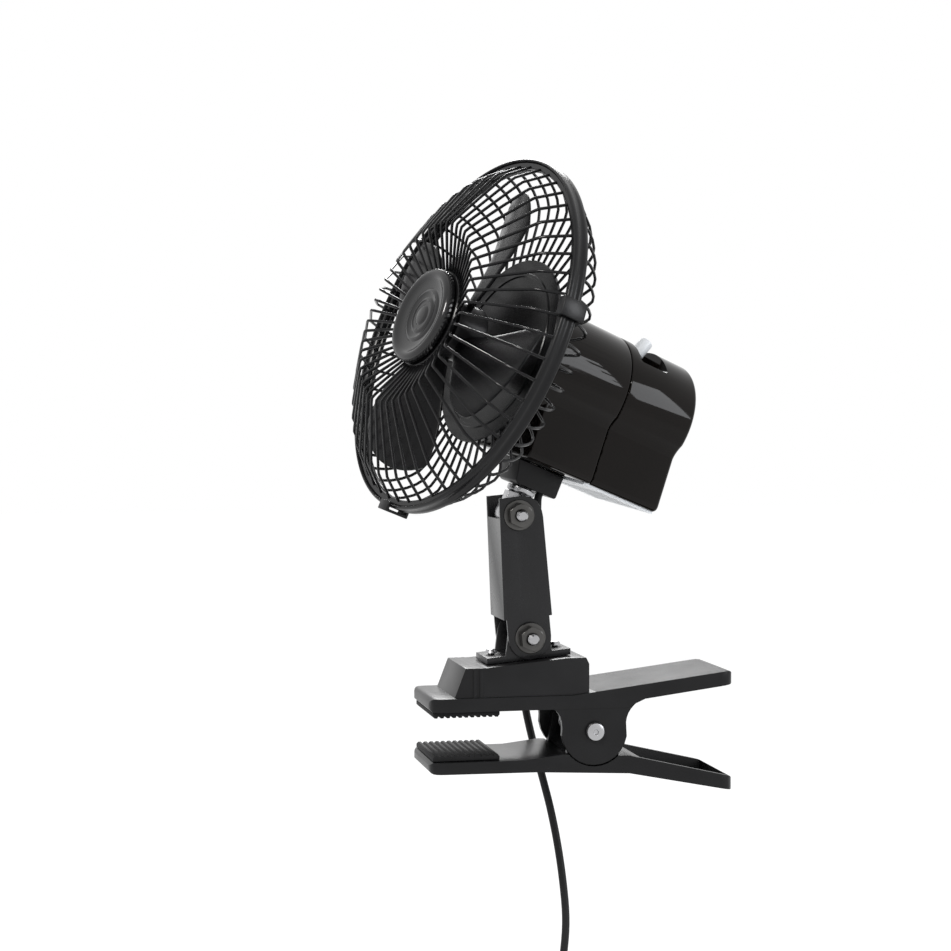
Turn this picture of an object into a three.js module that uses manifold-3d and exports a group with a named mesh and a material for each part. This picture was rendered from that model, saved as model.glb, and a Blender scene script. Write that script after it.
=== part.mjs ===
// A clip fan: a spring clamp for a board, a tilting arm, a swinging motor head
// and a ribbed guard round a four-blade fan. Millimetres, +Z up.
// The origin is on the face of the upper jaw's pad that rests on the board.
// The head looks along -X at no tilt and no swing; the clamp's handles point along +X.
import * as THREE from "three";
import { mergeVertices } from "three/addons/utils/BufferGeometryUtils.js";
import Module from "manifold-3d";

const wasm = await Module();
wasm.setup();

const DEG = Math.PI / 180;
const GAP = 0.3; // between pieces that touch on the real fan

// ---- Stored pose, as photographed ----
const BOARD = 18; // thickness of the board between the jaws
const ARM_LEAN = -5.4 * DEG; // the arm leans towards the jaws
const HEAD_TILT = 22 * DEG; // the head looks up
const HEAD_SWING = 17 * DEG; // and to one side

// ---- Clamp ----
const CLAMP_HALF = 25; // half width of both levers
const JAW_TIP = 18; // from the origin to the jaws' tips
const JAW_THICK = 6.5;
const JAW_SHOULDER = 42; // where the jaw ends and the cheek starts
const PAD_THICK = 3;
const PAD_FRONT = 16.4;
const PAD_REAR = 16.2;
const PAD_HALF = 22;
const PAD_TEETH = 11;
const TOOTH = 0.9;
const PIVOT = { x: 62.7, z: -8.2 };
const PIN_R = 3;
const CHEEK_R = 16.3;
const CHEEK_IN = 21.4; // inner face of each cheek
const CHEEK_OUT = 24.6;
const EAR_R = 10.6;
const EAR_IN = 17.2; // inner face of each ear of the lower lever
const EAR_OUT = 20.9;
const HANDLE_END = 133.5;
const HANDLE_RISE = 8.7; // of the upper handle's end above its root
const HANDLE_DROP = 12.4; // of the lower handle's end
const HANDLE_THICK = 7.2;
const HANDLE_WALL = 2.4;
const BOX_HALF = 22; // half width of the housing on the upper lever
const BOX_WALL = 2.4;
const BOX_FRONT = 23.5; // height of its front end
const BOX_REAR = 27.3;
const BOX_END = 60.6;
const CHUTE = { x: 32.8, half: 15, width: 15 }; // opening in the lever under the bracket

// ---- Spring ----
const SPRING_R = 7.2; // to the middle of the wire
const SPRING_WIRE = 2;
const SPRING_TURNS = 5;
const SPRING_LEG = 12;
const SPRING_UP = 13 * DEG; // slope of the leg under the upper lever
const SPRING_DOWN = -47 * DEG; // and of the leg on the lower one

// ---- Arm and its two bolts ----
const LOWER_BOLT = { x: 32.8, z: 36.7 };
const ARM_LENGTH = 59.9; // from bolt to bolt
const ARM_HALF = 15;
const ARM_WALL = 1.8;
const ARM_WIDE = 12; // half width across the arm, at the bottom
const ARM_TOP = 8.8; // past the upper bolt
const ARM_ROUND = 10.6;
const WEB_START = 9.8; // height of the web's lower end above the lower bolt
const WEB_END = ARM_LENGTH - 1.2; // and of its upper end, below the stem when it folds forwards
const WEB_SLOPE = (ARM_WIDE - ARM_TOP) / (ARM_LENGTH + ARM_TOP + 4 - WEB_START);
const LIP = 4; // width of the turned-in edge opposite the web
const BOLT_R = 2.5;
const BOLT_HOLE_R = BOLT_R + GAP;
const NUT_ACROSS = 10.6;
const NUT_THICK = 4.6;
const WASHER_R = 7.5;
const WASHER_THICK = 1.2;
const BRACKET_WALL = 2;
const BRACKET_HALF = ARM_HALF - ARM_WALL - GAP;
const BRACKET_WIDE = 11.8;
const BRACKET_FLOOR = 3;

// ---- Stem ----
const HEAD_RISE = 70; // from the upper bolt to the fan's axis
const LUG_HALF = 4.5;
const LUG_R = 7.6;
const STEM_R = 5;
const COLLAR_R = 7;

// ---- Motor head: positions forward of the stem's axis, heights from the fan's axis ----
const SHELL_R = 31;
const SHELL_WALL = 2;
const NOSE_FRONT = 37.9;
const BOX_LINE = 20; // front of the shell's lower box
const SEAM = -18;
const SHELL_REAR = -60;
const NECK_HALF = 26.4; // the shell draws in here, then flares
const NECK_Z = -15;
const SHELL_BASE = -44;
const BASE_HALF = 29.5;
const SHELL_CORNER = 3.5;
const COVER_LIP = 1.6; // the seam's tongue
const BLOCK = { half: 9, front: 12, rear: -15, base: -56 };
const GROMMET = { at: 10.5, r: 3.1, long: 6 }; // where the lead leaves the block
const BASE_PLATE = { front: -15.6, rear: -58.5, half: 27, thick: 1.5 };
const VENTS = 6;

// ---- Guard, with k the distance forward of the rim ----
const RIM = 60.3; // the rim's plane, forward of the stem's axis
const RIM_R = 90;
const RIM_WALL = 1.7;
const RIM_HALF = 4;
const RING_WIDE = 3.2;
const RING_DEEP = 2.8;
const RIBS = 52; // in each guard
const RIB = 1.7;
const CREST = { r: 45.5, k: 29.5 };
const SHOULDER = { r: RIM_R - 13, k: 13 };
const REAR_SHOULDER = [
  { r: RIM_R - 17, k: 0.5 },
  { r: RIM_R - 9, k: 7 },
]; // with k forward of the rear plate
const HUB_RING = { r: 21, wide: 3.4, k: 20 };
const BADGE_R = 23.6;
const BADGE_FRONT = 27;
const BADGE_THICK = 5;
const PLATE_R = 47; // solid centre of the rear guard
const PLATE_K = -21;
const PLATE_THICK = 2.2;
const PLATE_HOLE = 7.5;

// ---- Fan and motor ----
const BLADES = 4;
const BLADE_R = 73;
const BLADE_THICK = 1.5;
const BLADE_PITCH = 27 * DEG;
const HUB_R = 14;
const HUB_FRONT = 13;
const HUB_DEEP = 17;
const SHAFT_R = 2;
const SHAFT_FRONT = RIM + 17;
const SHAFT_REAR = -42;
const SPINNER_R = 6;
const SPINNER_LONG = 7;
const CRADLE_WALL = 2.4;
const STATOR_R = SHELL_R - SHELL_WALL - CRADLE_WALL - 2 * GAP;
const STATOR_FRONT = 16;
const STATOR_REAR = -6;
const ROTOR_R = 13;
const POLES = 4;
const BEARING_R = 5;
const BEARING_LONG = 7;
const PLATE_WEB = 2; // motor end brackets
const BAR_HALF = 10;
const FRONT_BRACKET = 27;
const REAR_BRACKET = -21;
const WORM_R = 3.4;
const WORM_FRONT = -27;
const WORM_REAR = -38;
const WHEEL_R = 8;
const WHEEL_TEETH = 14;
const WHEEL_THICK = 4;
const SPINDLE_R = 1.8;

// ---- Controls ----
const KNOB = { at: -29, side: -4, r: 3.5, rise: 14, travel: 4, lean: 22 };
const WELL = { front: -24.2, rear: -41, side: 9, floor: 22 }; // recess round the knob
const SWITCH = { low: -24, length: 8, width: 6, rise: 2.4, waist: 2.2, travel: 8 };

// ---- Cord ----
const CORD_R = 2;
const CORD_SIDES = 8;
const GLAND_R = 4;
const GLAND_LONG = 12;
const GLAND = { x: 43.5, z: 14.6 }; // on the far side of the clamp's housing
const COIL = { x: 74, y: 38, z: -180 };
const COIL_IN = 17.5; // middle of the cord at the innermost turn
const COIL_TURNS = 9;
const COIL_LAYERS = 4;
const COIL_STEPS = 16; // in each turn
const COIL_SIDES = 5;
const COIL_PITCH = 2 * CORD_R + 0.7; // from turn to turn and from layer to layer
const COIL_ENTRY = 150 * DEG; // where the cord comes in, round the coil from +X
const COIL_EXIT = 180 * DEG; // and leaves for the plug
const TIE = { at: 90 * DEG, wide: 6, thick: 1.2 };
const FAR_LEAD = 22; // from the coil to the plug
const PLUG = { neck: 12, length: 30, width: 26, thick: 12, pin: 19, pinR: 2, spread: 19 };

const material = (color, roughness, metalness = 0) =>
  new THREE.MeshStandardMaterial({ color, roughness, metalness });
const PLASTIC = () => material(0x141414, 0.42);
const GLOSS = () => material(0x0b0a0a, 0.12);
const WIRE = () => material(0x101010, 0.35);
const RUBBER = () => material(0x17181a, 0.85);
const PAINTED = () => material(0x202122, 0.38, 0.2);
const ZINC = () => material(0xc6c9cc, 0.32, 0.9);
const STEEL = () => material(0x8d9094, 0.35, 0.9);
const COPPER = () => material(0xa8552b, 0.4, 0.8);
const BRASS = () => material(0xb08b45, 0.4, 0.8);
const PALE = () => material(0xd9dcde, 0.45);

// ---- Solids ----

// A closed geometry as a solid with its faces outwards.
function solid(geometry) {
  const bare = geometry.index ? geometry.toNonIndexed() : geometry.clone();
  bare.deleteAttribute("normal");
  bare.deleteAttribute("uv");
  const merged = mergeVertices(bare, 1e-4);
  const at = merged.attributes.position;
  const corners = new Uint32Array(merged.index.array);
  const [a, b, c] = [new THREE.Vector3(), new THREE.Vector3(), new THREE.Vector3()];
  let volume = 0;
  for (let i = 0; i < corners.length; i += 3) {
    a.fromBufferAttribute(at, corners[i]);
    b.fromBufferAttribute(at, corners[i + 1]);
    c.fromBufferAttribute(at, corners[i + 2]);
    volume += a.dot(b.cross(c));
  }
  if (volume < 0) corners.reverse();
  const mesh = new wasm.Mesh({
    numProp: 3,
    vertProperties: new Float32Array(at.array),
    triVerts: corners,
  });
  return new wasm.Manifold(mesh);
}

const join = (...solids) => solids.reduce((all, next) => all.add(next));
const cut = (body, ...tools) => tools.reduce((left, tool) => left.subtract(tool), body);

// A solid as a named mesh.
function piece(name, body, skin) {
  const made = body.getMesh();
  const geometry = new THREE.BufferGeometry();
  geometry.setAttribute("position", new THREE.BufferAttribute(made.vertProperties, 3));
  geometry.setIndex(new THREE.BufferAttribute(made.triVerts, 1));
  geometry.computeVertexNormals();
  const mesh = new THREE.Mesh(geometry, skin);
  mesh.name = name;
  return mesh;
}

const polygon = (points) => new THREE.Shape(points.map(([x, y]) => new THREE.Vector2(x, y)));

function prism(shape, depth, curveSegments = 8) {
  return new THREE.ExtrudeGeometry(shape, { depth, bevelEnabled: false, curveSegments });
}

// A side outline in X and Z, from one Y to another.
function across(shape, from, to, segments) {
  return solid(prism(shape, to - from, segments).rotateX(Math.PI / 2).translate(0, to, 0));
}

// A plan outline in X and Y, from one Z to another.
function upright(shape, from, to, segments) {
  return solid(prism(shape, to - from, segments).translate(0, 0, from));
}

// A section in Y and Z of the head, from a forward position back to a rear one.
function backwards(shape, front, rear, segments) {
  const turn = new THREE.Matrix4().set(0, 0, 1, -front, 1, 0, 0, 0, 0, 1, 0, 0, 0, 0, 0, 1);
  return solid(prism(shape, front - rear, segments).applyMatrix4(turn));
}

const lathe = (points, segments) =>
  new THREE.LatheGeometry(
    points.map(([r, y]) => new THREE.Vector2(r, y)),
    segments,
  );

// A turned piece round the fan's axis; its points are radius and forward position.
const turned = (points, segments = 24) =>
  solid(lathe(closed(points), segments).rotateZ(Math.PI / 2));

// The same round an upright line, or a line along Y.
const turnedUp = (points, segments = 12) =>
  solid(lathe(closed(points), segments).rotateX(Math.PI / 2));
const turnedAcross = (points, segments = 12) => solid(lathe(closed(points), segments));

function closed(points) {
  const [first, last] = [points[0], points[points.length - 1]];
  const open = first[0] > 0 || last[0] > 0;
  return open ? [...points, first] : points;
}

const ringProfile = (inner, outer, low, high) => [
  [inner, low],
  [outer, low],
  [outer, high],
  [inner, high],
];
const discProfile = (r, low, high) => [
  [0, low],
  [r, low],
  [r, high],
  [0, high],
];

const rodAcross = (x, z, r, from, to, segments = 12) =>
  turnedAcross(discProfile(r, from, to), segments).translate([x, 0, z]);
const box = (x0, x1, y0, y1, z0, z1) =>
  solid(
    new THREE.BoxGeometry(x1 - x0, y1 - y0, z1 - z0).translate(
      (x0 + x1) / 2,
      (y0 + y1) / 2,
      (z0 + z1) / 2,
    ),
  );

// A round tube along a curve.
function tube(curve, r, steps, sides) {
  const section = new THREE.Shape();
  for (let i = 0; i < sides; i++) {
    const a = (2 * Math.PI * i) / sides;
    const [x, y] = [r * Math.cos(a), r * Math.sin(a)];
    if (i) section.lineTo(x, y);
    else section.moveTo(x, y);
  }
  section.closePath();
  return solid(
    new THREE.ExtrudeGeometry(section, { steps, bevelEnabled: false, extrudePath: curve }),
  );
}

const smooth = (points) =>
  new THREE.CatmullRomCurve3(
    points.map(([x, y, z]) => new THREE.Vector3(x, y, z)),
    false,
    "centripetal",
  );

// ---- Clamp: levers, pads, pivot ----

const HANDLE_ROOT = 63;
const UPPER_TOP = PAD_THICK + JAW_THICK; // top of the upper jaw
const handleTop = (x) =>
  UPPER_TOP + 1.5 + (HANDLE_RISE * (x - HANDLE_ROOT)) / (HANDLE_END - HANDLE_ROOT);

function upperLeverOutline() {
  const under = handleTop(HANDLE_END) - HANDLE_THICK;
  const s = new THREE.Shape();
  s.moveTo(-JAW_TIP + 1.5, PAD_THICK);
  s.lineTo(JAW_SHOULDER, PAD_THICK);
  s.lineTo(PIVOT.x + CHEEK_R, PAD_THICK);
  s.lineTo(PIVOT.x + CHEEK_R + 9, handleTop(PIVOT.x + CHEEK_R + 9) - HANDLE_THICK);
  s.lineTo(HANDLE_END - 2, under);
  s.quadraticCurveTo(HANDLE_END, under, HANDLE_END, under + 3);
  s.quadraticCurveTo(HANDLE_END, handleTop(HANDLE_END), HANDLE_END - 4, handleTop(HANDLE_END - 4));
  s.lineTo(HANDLE_ROOT, handleTop(HANDLE_ROOT));
  s.lineTo(BOX_END - 8, UPPER_TOP);
  s.lineTo(-JAW_TIP + 3, UPPER_TOP);
  s.quadraticCurveTo(-JAW_TIP, UPPER_TOP, -JAW_TIP, UPPER_TOP - 3);
  s.lineTo(-JAW_TIP, PAD_THICK + 1.5);
  s.closePath();
  return s;
}

function upperBoxOutline(inset) {
  const low = inset ? PAD_THICK - 1 : UPPER_TOP - 1;
  return polygon([
    [-6.2 + 1.4 * inset, low],
    [-0.4 + inset, BOX_FRONT - inset],
    [10, BOX_FRONT - inset],
    [50, BOX_REAR - inset],
    [BOX_END - 1.5 - inset, BOX_REAR - inset],
    [BOX_END - inset, BOX_REAR - 3 - inset],
    [BOX_END - inset, low],
  ]);
}

// One cheek: a round ear below the lever, carrying the pivot.
function cheek(side) {
  const s = new THREE.Shape();
  const right = PIVOT.x + CHEEK_R - 0.6;
  s.moveTo(JAW_SHOULDER - 2, PAD_THICK + 1);
  s.quadraticCurveTo(PIVOT.x - CHEEK_R + 1.5, PAD_THICK - 1, PIVOT.x - CHEEK_R, PIVOT.z - 2);
  s.absarc(PIVOT.x, PIVOT.z, CHEEK_R, 187 * DEG, 350 * DEG, false);
  s.lineTo(right, PIVOT.z + 4);
  s.quadraticCurveTo(right + 0.5, PAD_THICK, right + 9, PAD_THICK + 4.4);
  s.lineTo(right, UPPER_TOP);
  s.lineTo(JAW_SHOULDER, UPPER_TOP);
  s.closePath();
  const [from, to] = side < 0 ? [-CHEEK_OUT, -CHEEK_IN] : [CHEEK_IN, CHEEK_OUT];
  return across(s, from, to, 6);
}

function upperLever() {
  const rounded = leverPlan(CLAMP_HALF);
  const beam = across(upperLeverOutline(), -CLAMP_HALF, CLAMP_HALF, 4).intersect(
    upright(rounded, -5, 60, 6),
  );
  const shell = across(upperBoxOutline(0), -BOX_HALF, BOX_HALF, 4);
  const ridge = (x) => box(x, x + 1.4, -BOX_HALF - 0.8, BOX_HALF + 0.8, UPPER_TOP - 1, BOX_FRONT);
  const hollow = across(upperBoxOutline(BOX_WALL), -BOX_HALF + BOX_WALL, BOX_HALF - BOX_WALL, 4);
  const floor = box(-JAW_TIP, JAW_SHOULDER - 8, -CLAMP_HALF, CLAMP_HALF, PAD_THICK, UPPER_TOP - 1);
  const handleHollow = across(
    polygon([
      [PIVOT.x + CHEEK_R + 4, 0],
      [PIVOT.x + CHEEK_R + 4, handleTop(PIVOT.x + CHEEK_R + 4) - HANDLE_WALL],
      [HANDLE_END - HANDLE_WALL, handleTop(HANDLE_END) - HANDLE_WALL],
      [HANDLE_END - HANDLE_WALL, 0],
    ]),
    -CLAMP_HALF + HANDLE_WALL,
    CLAMP_HALF - HANDLE_WALL,
  );
  const screwPost = (x) =>
    turnedUp(discProfile(4, UPPER_TOP - 3, 25), 12).translate([x, 0, 0]);
  const posts = join(screwPost(CHUTE.x - 16), screwPost(CHUTE.x + 16));
  const skin = join(beam, shell, ridge(3.2), ridge(6.4));
  const opened = cut(skin, cut(hollow, floor, posts), handleHollow);
  const pin = rodAcross(PIVOT.x, PIVOT.z, PIN_R + GAP, -30, 30);
  const glandHole = turnedAcross(discProfile(CORD_R + 2, 15, 26), 12).translate([
    GLAND.x,
    0,
    GLAND.z,
  ]);
  const leadHole = turnedUp(discProfile(CORD_R + 1.2, 15, 40), 12).translate([
    LEAD_X,
    LEAD_Y,
    0,
  ]);
  const whole = join(opened, cheek(-1), cheek(1));
  const holes = [CHUTE.x - 16, CHUTE.x + 16].map((x) =>
    turnedUp(discProfile(SCREW_R + GAP, 14, 40), 12).translate([x, 0, 0]),
  );
  return cut(whole, pin, glandHole, leadHole, ...holes);
}

// The plan of a lever: rounded at both ends.
function leverPlan(half) {
  const s = new THREE.Shape();
  const r = 7;
  s.moveTo(-JAW_TIP + r, -half);
  s.lineTo(HANDLE_END - r, -half);
  s.quadraticCurveTo(HANDLE_END, -half, HANDLE_END, -half + r);
  s.lineTo(HANDLE_END, half - r);
  s.quadraticCurveTo(HANDLE_END, half, HANDLE_END - r, half);
  s.lineTo(-JAW_TIP + r, half);
  s.quadraticCurveTo(-JAW_TIP, half, -JAW_TIP, half - r);
  s.lineTo(-JAW_TIP, -half + r);
  s.quadraticCurveTo(-JAW_TIP, -half, -JAW_TIP + r, -half);
  return s;
}

const LOWER_TOP = -BOARD - PAD_THICK; // where the lower pad sits
const LOWER_HANDLE_ROOT = 80;
const lowerTop = (x) =>
  LOWER_TOP -
  1 -
  (HANDLE_DROP * Math.max(0, x - LOWER_HANDLE_ROOT)) / (HANDLE_END - LOWER_HANDLE_ROOT) +
  1.5;

function lowerLever() {
  const s = new THREE.Shape();
  const end = lowerTop(HANDLE_END);
  s.moveTo(-JAW_TIP, LOWER_TOP - 1.5);
  s.lineTo(-JAW_TIP, LOWER_TOP - 3.5);
  s.quadraticCurveTo(-JAW_TIP, LOWER_TOP - 5.6, -JAW_TIP + 3, LOWER_TOP - 5.6);
  s.lineTo(34, LOWER_TOP - 6);
  s.lineTo(LOWER_HANDLE_ROOT, lowerTop(LOWER_HANDLE_ROOT) - HANDLE_THICK - 1.5);
  s.lineTo(HANDLE_END - 2, end - HANDLE_THICK + 0.8);
  s.quadraticCurveTo(HANDLE_END, end - HANDLE_THICK, HANDLE_END, end - 3);
  s.quadraticCurveTo(HANDLE_END, end, HANDLE_END - 3, lowerTop(HANDLE_END - 3));
  s.lineTo(LOWER_HANDLE_ROOT, lowerTop(LOWER_HANDLE_ROOT));
  s.lineTo(PIVOT.x - CHEEK_R, lowerTop(0) + 1.6);
  s.lineTo(PAD_REAR + 12, LOWER_TOP);
  s.lineTo(-JAW_TIP + 1.5, LOWER_TOP);
  s.closePath();
  const beam = across(s, -CLAMP_HALF, CLAMP_HALF, 4).intersect(
    upright(leverPlan(CLAMP_HALF), -60, 0, 6),
  );
  const hollow = across(
    polygon([
      [LOWER_HANDLE_ROOT + 6, 0],
      [LOWER_HANDLE_ROOT + 6, lowerTop(LOWER_HANDLE_ROOT + 6) - HANDLE_THICK + HANDLE_WALL],
      [HANDLE_END - HANDLE_WALL, lowerTop(HANDLE_END) - HANDLE_THICK + HANDLE_WALL],
      [HANDLE_END - HANDLE_WALL, 0],
    ]),
    -CLAMP_HALF + HANDLE_WALL,
    CLAMP_HALF - HANDLE_WALL,
  );
  const relief = (from, to) => rodAcross(PIVOT.x, PIVOT.z, CHEEK_R + 0.7, from, to, 32);
  const reach = Math.hypot(SPRING_R, SPRING_LEG) + SPRING_WIRE / 2 + 1;
  const well = rodAcross(PIVOT.x, PIVOT.z, reach, -EAR_IN, EAR_IN, 24);
  const body = cut(
    beam,
    hollow,
    relief(-CLAMP_HALF - 1, -EAR_OUT - 0.2),
    relief(EAR_OUT + 0.2, CLAMP_HALF + 1),
    well,
  );
  const ears = [-1, 1].map((side) => lowerEar(side));
  return cut(
    join(body, ...ears),
    rodAcross(PIVOT.x, PIVOT.z, PIN_R + GAP, -30, 30),
  );
}

function lowerEar(side) {
  const s = new THREE.Shape();
  const foot = lowerTop(0) - 2;
  s.moveTo(PIVOT.x - EAR_R - 3, foot);
  s.lineTo(PIVOT.x - EAR_R, PIVOT.z);
  s.absarc(PIVOT.x, PIVOT.z, EAR_R, Math.PI, 0, true);
  s.lineTo(PIVOT.x + EAR_R + 3, foot);
  s.closePath();
  const [from, to] = side < 0 ? [-EAR_OUT, -EAR_IN] : [EAR_IN, EAR_OUT];
  return across(s, from, to, 12);
}

// A rubber pad with teeth across its gripping face; up is +1 for the lower jaw's pad.
function pad(face, up) {
  const points = [];
  const step = (PAD_FRONT + PAD_REAR) / PAD_TEETH;
  for (let i = 0; i < PAD_TEETH; i++) {
    const x = -PAD_FRONT + i * step;
    points.push([x + 0.3 * step, face], [x + 0.75 * step, face]);
    points.push([x + 0.88 * step, face - up * TOOTH], [x + step, face - up * TOOTH]);
  }
  const back = face - up * (PAD_THICK - GAP);
  points.push([PAD_REAR, back], [-PAD_FRONT, back], [-PAD_FRONT, face - up * TOOTH]);
  return across(polygon(points), -PAD_HALF, PAD_HALF);
}

const SPRING_SPAN = 2 * EAR_IN - 5;
const SPRING_STEPS = 8 * SPRING_TURNS + 5;

// A torsion spring round the pin, its legs under the upper handle and on the lower one.
class SpringLine extends THREE.Curve {
  getPoint(t, target = new THREE.Vector3()) {
    const leg = 2 / SPRING_STEPS; // share of the line in each leg
    const turn = THREE.MathUtils.clamp((t - leg) / (1 - 2 * leg), 0, 1);
    const start = SPRING_UP + Math.PI / 2;
    const end = SPRING_DOWN - Math.PI / 2 + 2 * Math.PI * (SPRING_TURNS + 1);
    const angle = start + (end - start) * turn;
    const y = SPRING_SPAN * (turn - 0.5);
    const x = PIVOT.x + SPRING_R * Math.cos(angle);
    const z = PIVOT.z + SPRING_R * Math.sin(angle);
    const out = (SPRING_LEG * Math.max(leg - t, t - 1 + leg, 0)) / leg;
    const way = t < 0.5 ? SPRING_UP : SPRING_DOWN;
    return target.set(x + out * Math.cos(way), y, z + out * Math.sin(way));
  }
}

const springLine = new SpringLine();
springLine.arcLengthDivisions = 20 * SPRING_STEPS;
const springGap = leastGap(springLine, SPRING_WIRE / 2, SPRING_STEPS);
console.log("clamp_spring least gap", springGap.toFixed(2), "mm");

const PIN_HEAD_R = 4.6;
const PIN_HEAD = 2.4;
const CLIP_THICK = 1.2;

function pivotPin() {
  return turnedAcross(
    [
      [0, -CHEEK_OUT - GAP - PIN_HEAD],
      [PIN_HEAD_R - 1, -CHEEK_OUT - GAP - PIN_HEAD],
      [PIN_HEAD_R, -CHEEK_OUT - GAP - PIN_HEAD + 1],
      [PIN_HEAD_R, -CHEEK_OUT - GAP],
      [PIN_R, -CHEEK_OUT - GAP],
      [PIN_R, CHEEK_OUT + GAP + CLIP_THICK + GAP + 1.4],
      [0, CHEEK_OUT + GAP + CLIP_THICK + GAP + 1.4],
    ],
    12,
  ).translate([PIVOT.x, 0, PIVOT.z]);
}

const pivotClip = () =>
  turnedAcross(
    ringProfile(PIN_R + GAP, PIN_R + 3, CHEEK_OUT + GAP, CHEEK_OUT + GAP + CLIP_THICK),
  ).translate([PIVOT.x, 0, PIVOT.z]);

// ---- Bracket on the clamp ----

const SCREW_R = 1.6;
const SCREW_HEAD_R = 3.2;
const boxTop = (x) => BOX_FRONT + ((BOX_REAR - BOX_FRONT) * (x - 10)) / 40;
const BRACKET_BASE = boxTop(CHUTE.x) + GAP; // under the floor, at its middle
const LEAD_X = LOWER_BOLT.x + 8;
const LEAD_Y = 7;

// A fork of two ears on a floor that follows the housing's slope.
function baseBracket() {
  const s = new THREE.Shape();
  const slope = (BOX_REAR - BOX_FRONT) / 40;
  const low = (x) => BRACKET_BASE + slope * (x - CHUTE.x);
  const [left, right] = [CHUTE.x - BRACKET_WIDE, CHUTE.x + BRACKET_WIDE];
  s.moveTo(left, low(left));
  s.lineTo(right, low(right));
  s.lineTo(LOWER_BOLT.x + 10.4, LOWER_BOLT.z);
  s.absarc(LOWER_BOLT.x, LOWER_BOLT.z, 10.4, 0, Math.PI, false);
  s.closePath();
  const block = across(s, -BRACKET_HALF, BRACKET_HALF, 8);
  const floorShape = polygon([
    [left - 9, low(left - 9)],
    [right + 9, low(right + 9)],
    [right + 9, low(right + 9) + BRACKET_FLOOR],
    [left - 9, low(left - 9) + BRACKET_FLOOR],
  ]);
  const floor = across(floorShape, -BRACKET_HALF, BRACKET_HALF);
  const inner = BRACKET_HALF - BRACKET_WALL;
  const roomLow = low(left) + BRACKET_FLOOR;
  const room = across(
    polygon([
      [left - 20, roomLow - 20 * slope],
      [right + 20, roomLow + slope * (2 * BRACKET_WIDE + 20)],
      [right + 20, 90],
      [left - 20, 90],
    ]),
    -inner,
    inner,
  );
  const screwHole = (x) =>
    turnedUp(discProfile(SCREW_R + GAP, 10, 50), 12).translate([x, 0, 0]);
  const lead = turnedUp(discProfile(CORD_R + 1, 10, 50), 12).translate([LEAD_X, LEAD_Y, 0]);
  return cut(
    join(block, floor),
    room,
    screwHole(CHUTE.x - 16),
    screwHole(CHUTE.x + 16),
    lead,
    rodAcross(LOWER_BOLT.x, LOWER_BOLT.z, BOLT_HOLE_R, -30, 30),
  );
}

function bracketScrew(x) {
  const seat = BRACKET_BASE + ((BOX_REAR - BOX_FRONT) / 40) * (x - CHUTE.x) + BRACKET_FLOOR;
  const lift = seat + 0.7;
  return turnedUp(
    [
      [0, lift - 13],
      [SCREW_R, lift - 12],
      [SCREW_R, lift],
      [SCREW_HEAD_R, lift],
      [SCREW_HEAD_R - 0.9, lift + 1.8],
      [0, lift + 2.1],
    ],
    14,
  ).translate([x, 0, 0]);
}

// ---- Bolts, nuts and washers, built at a bolt's own centre ----

const STACK = ARM_HALF + GAP + WASHER_THICK + GAP;

function bolt() {
  return turnedAcross(
    [
      [0, -STACK - NUT_THICK - 3.4],
      [BOLT_R - 0.6, -STACK - NUT_THICK - 3.4],
      [BOLT_R, -STACK - NUT_THICK - 2.8],
      [BOLT_R, ARM_HALF + GAP],
      [BOLT_R + 2.6, ARM_HALF + GAP],
      [BOLT_R + 2, ARM_HALF + GAP + 2],
      [BOLT_R + 0.6, ARM_HALF + GAP + 3],
      [0, ARM_HALF + GAP + 3.3],
    ],
    12,
  );
}

function nut() {
  const corner = NUT_ACROSS / Math.sqrt(3);
  const hex = turnedAcross(
    discProfile(corner, -STACK - NUT_THICK, -STACK),
    6,
  );
  const bore = turnedAcross(discProfile(BOLT_R + GAP, -40, 5));
  return cut(hex, bore);
}

const washer = () =>
  turnedAcross(
    ringProfile(BOLT_R + GAP, WASHER_R, -ARM_HALF - GAP - WASHER_THICK, -ARM_HALF - GAP),
    18,
  );

// ---- Arm: a channel with its web towards the jaws, in its own frame from bolt to bolt ----

function armOutline() {
  const top = ARM_LENGTH + ARM_TOP;
  const s = new THREE.Shape();
  s.moveTo(-ARM_ROUND, 0);
  s.absarc(0, 0, ARM_ROUND, Math.PI, 2 * Math.PI, false);
  s.lineTo(ARM_ROUND, WEB_START);
  s.lineTo(ARM_WIDE, WEB_START);
  s.lineTo(ARM_WIDE, ARM_LENGTH - 2);
  s.quadraticCurveTo(ARM_WIDE - 0.5, top, 2, top);
  s.lineTo(-ARM_TOP, top);
  s.lineTo(-ARM_WIDE, WEB_START);
  s.lineTo(-ARM_ROUND, WEB_START);
  s.closePath();
  return s;
}

function armChannel() {
  const inner = ARM_HALF - ARM_WALL;
  const outer = across(armOutline(), -ARM_HALF, ARM_HALF, 7);
  const top = ARM_LENGTH + ARM_TOP;
  const room = across(
    polygon([
      [-ARM_WIDE + ARM_WALL, WEB_START],
      [-ARM_WIDE - 4, WEB_START],
      [-ARM_WIDE - 4, -20],
      [ARM_WIDE + 4, -20],
      [ARM_WIDE + 4, WEB_START],
      [ARM_WIDE - ARM_WALL, WEB_START],
      [ARM_WIDE - ARM_WALL, ARM_LENGTH - 16],
      [ARM_WIDE + 4, ARM_LENGTH - 16],
      [ARM_WIDE + 4, top + 4],
      [-ARM_WIDE - 4, top + 4],
      [-ARM_WIDE - 4, WEB_END],
      [-ARM_TOP + ARM_WALL - WEB_SLOPE * (top + 4 - WEB_END), WEB_END],
    ]),
    -inner,
    inner,
  );
  const mouth = box(0, ARM_WIDE + 4, -inner + LIP, inner - LIP, WEB_START - 2, top + 4);
  const holes = [0, ARM_LENGTH].map((z) => rodAcross(0, z, BOLT_HOLE_R, -30, 30));
  return cut(outer, room, mouth, ...holes);
}

// ---- Stem: an eye on the upper bolt, and the post that the head swings on ----

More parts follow.
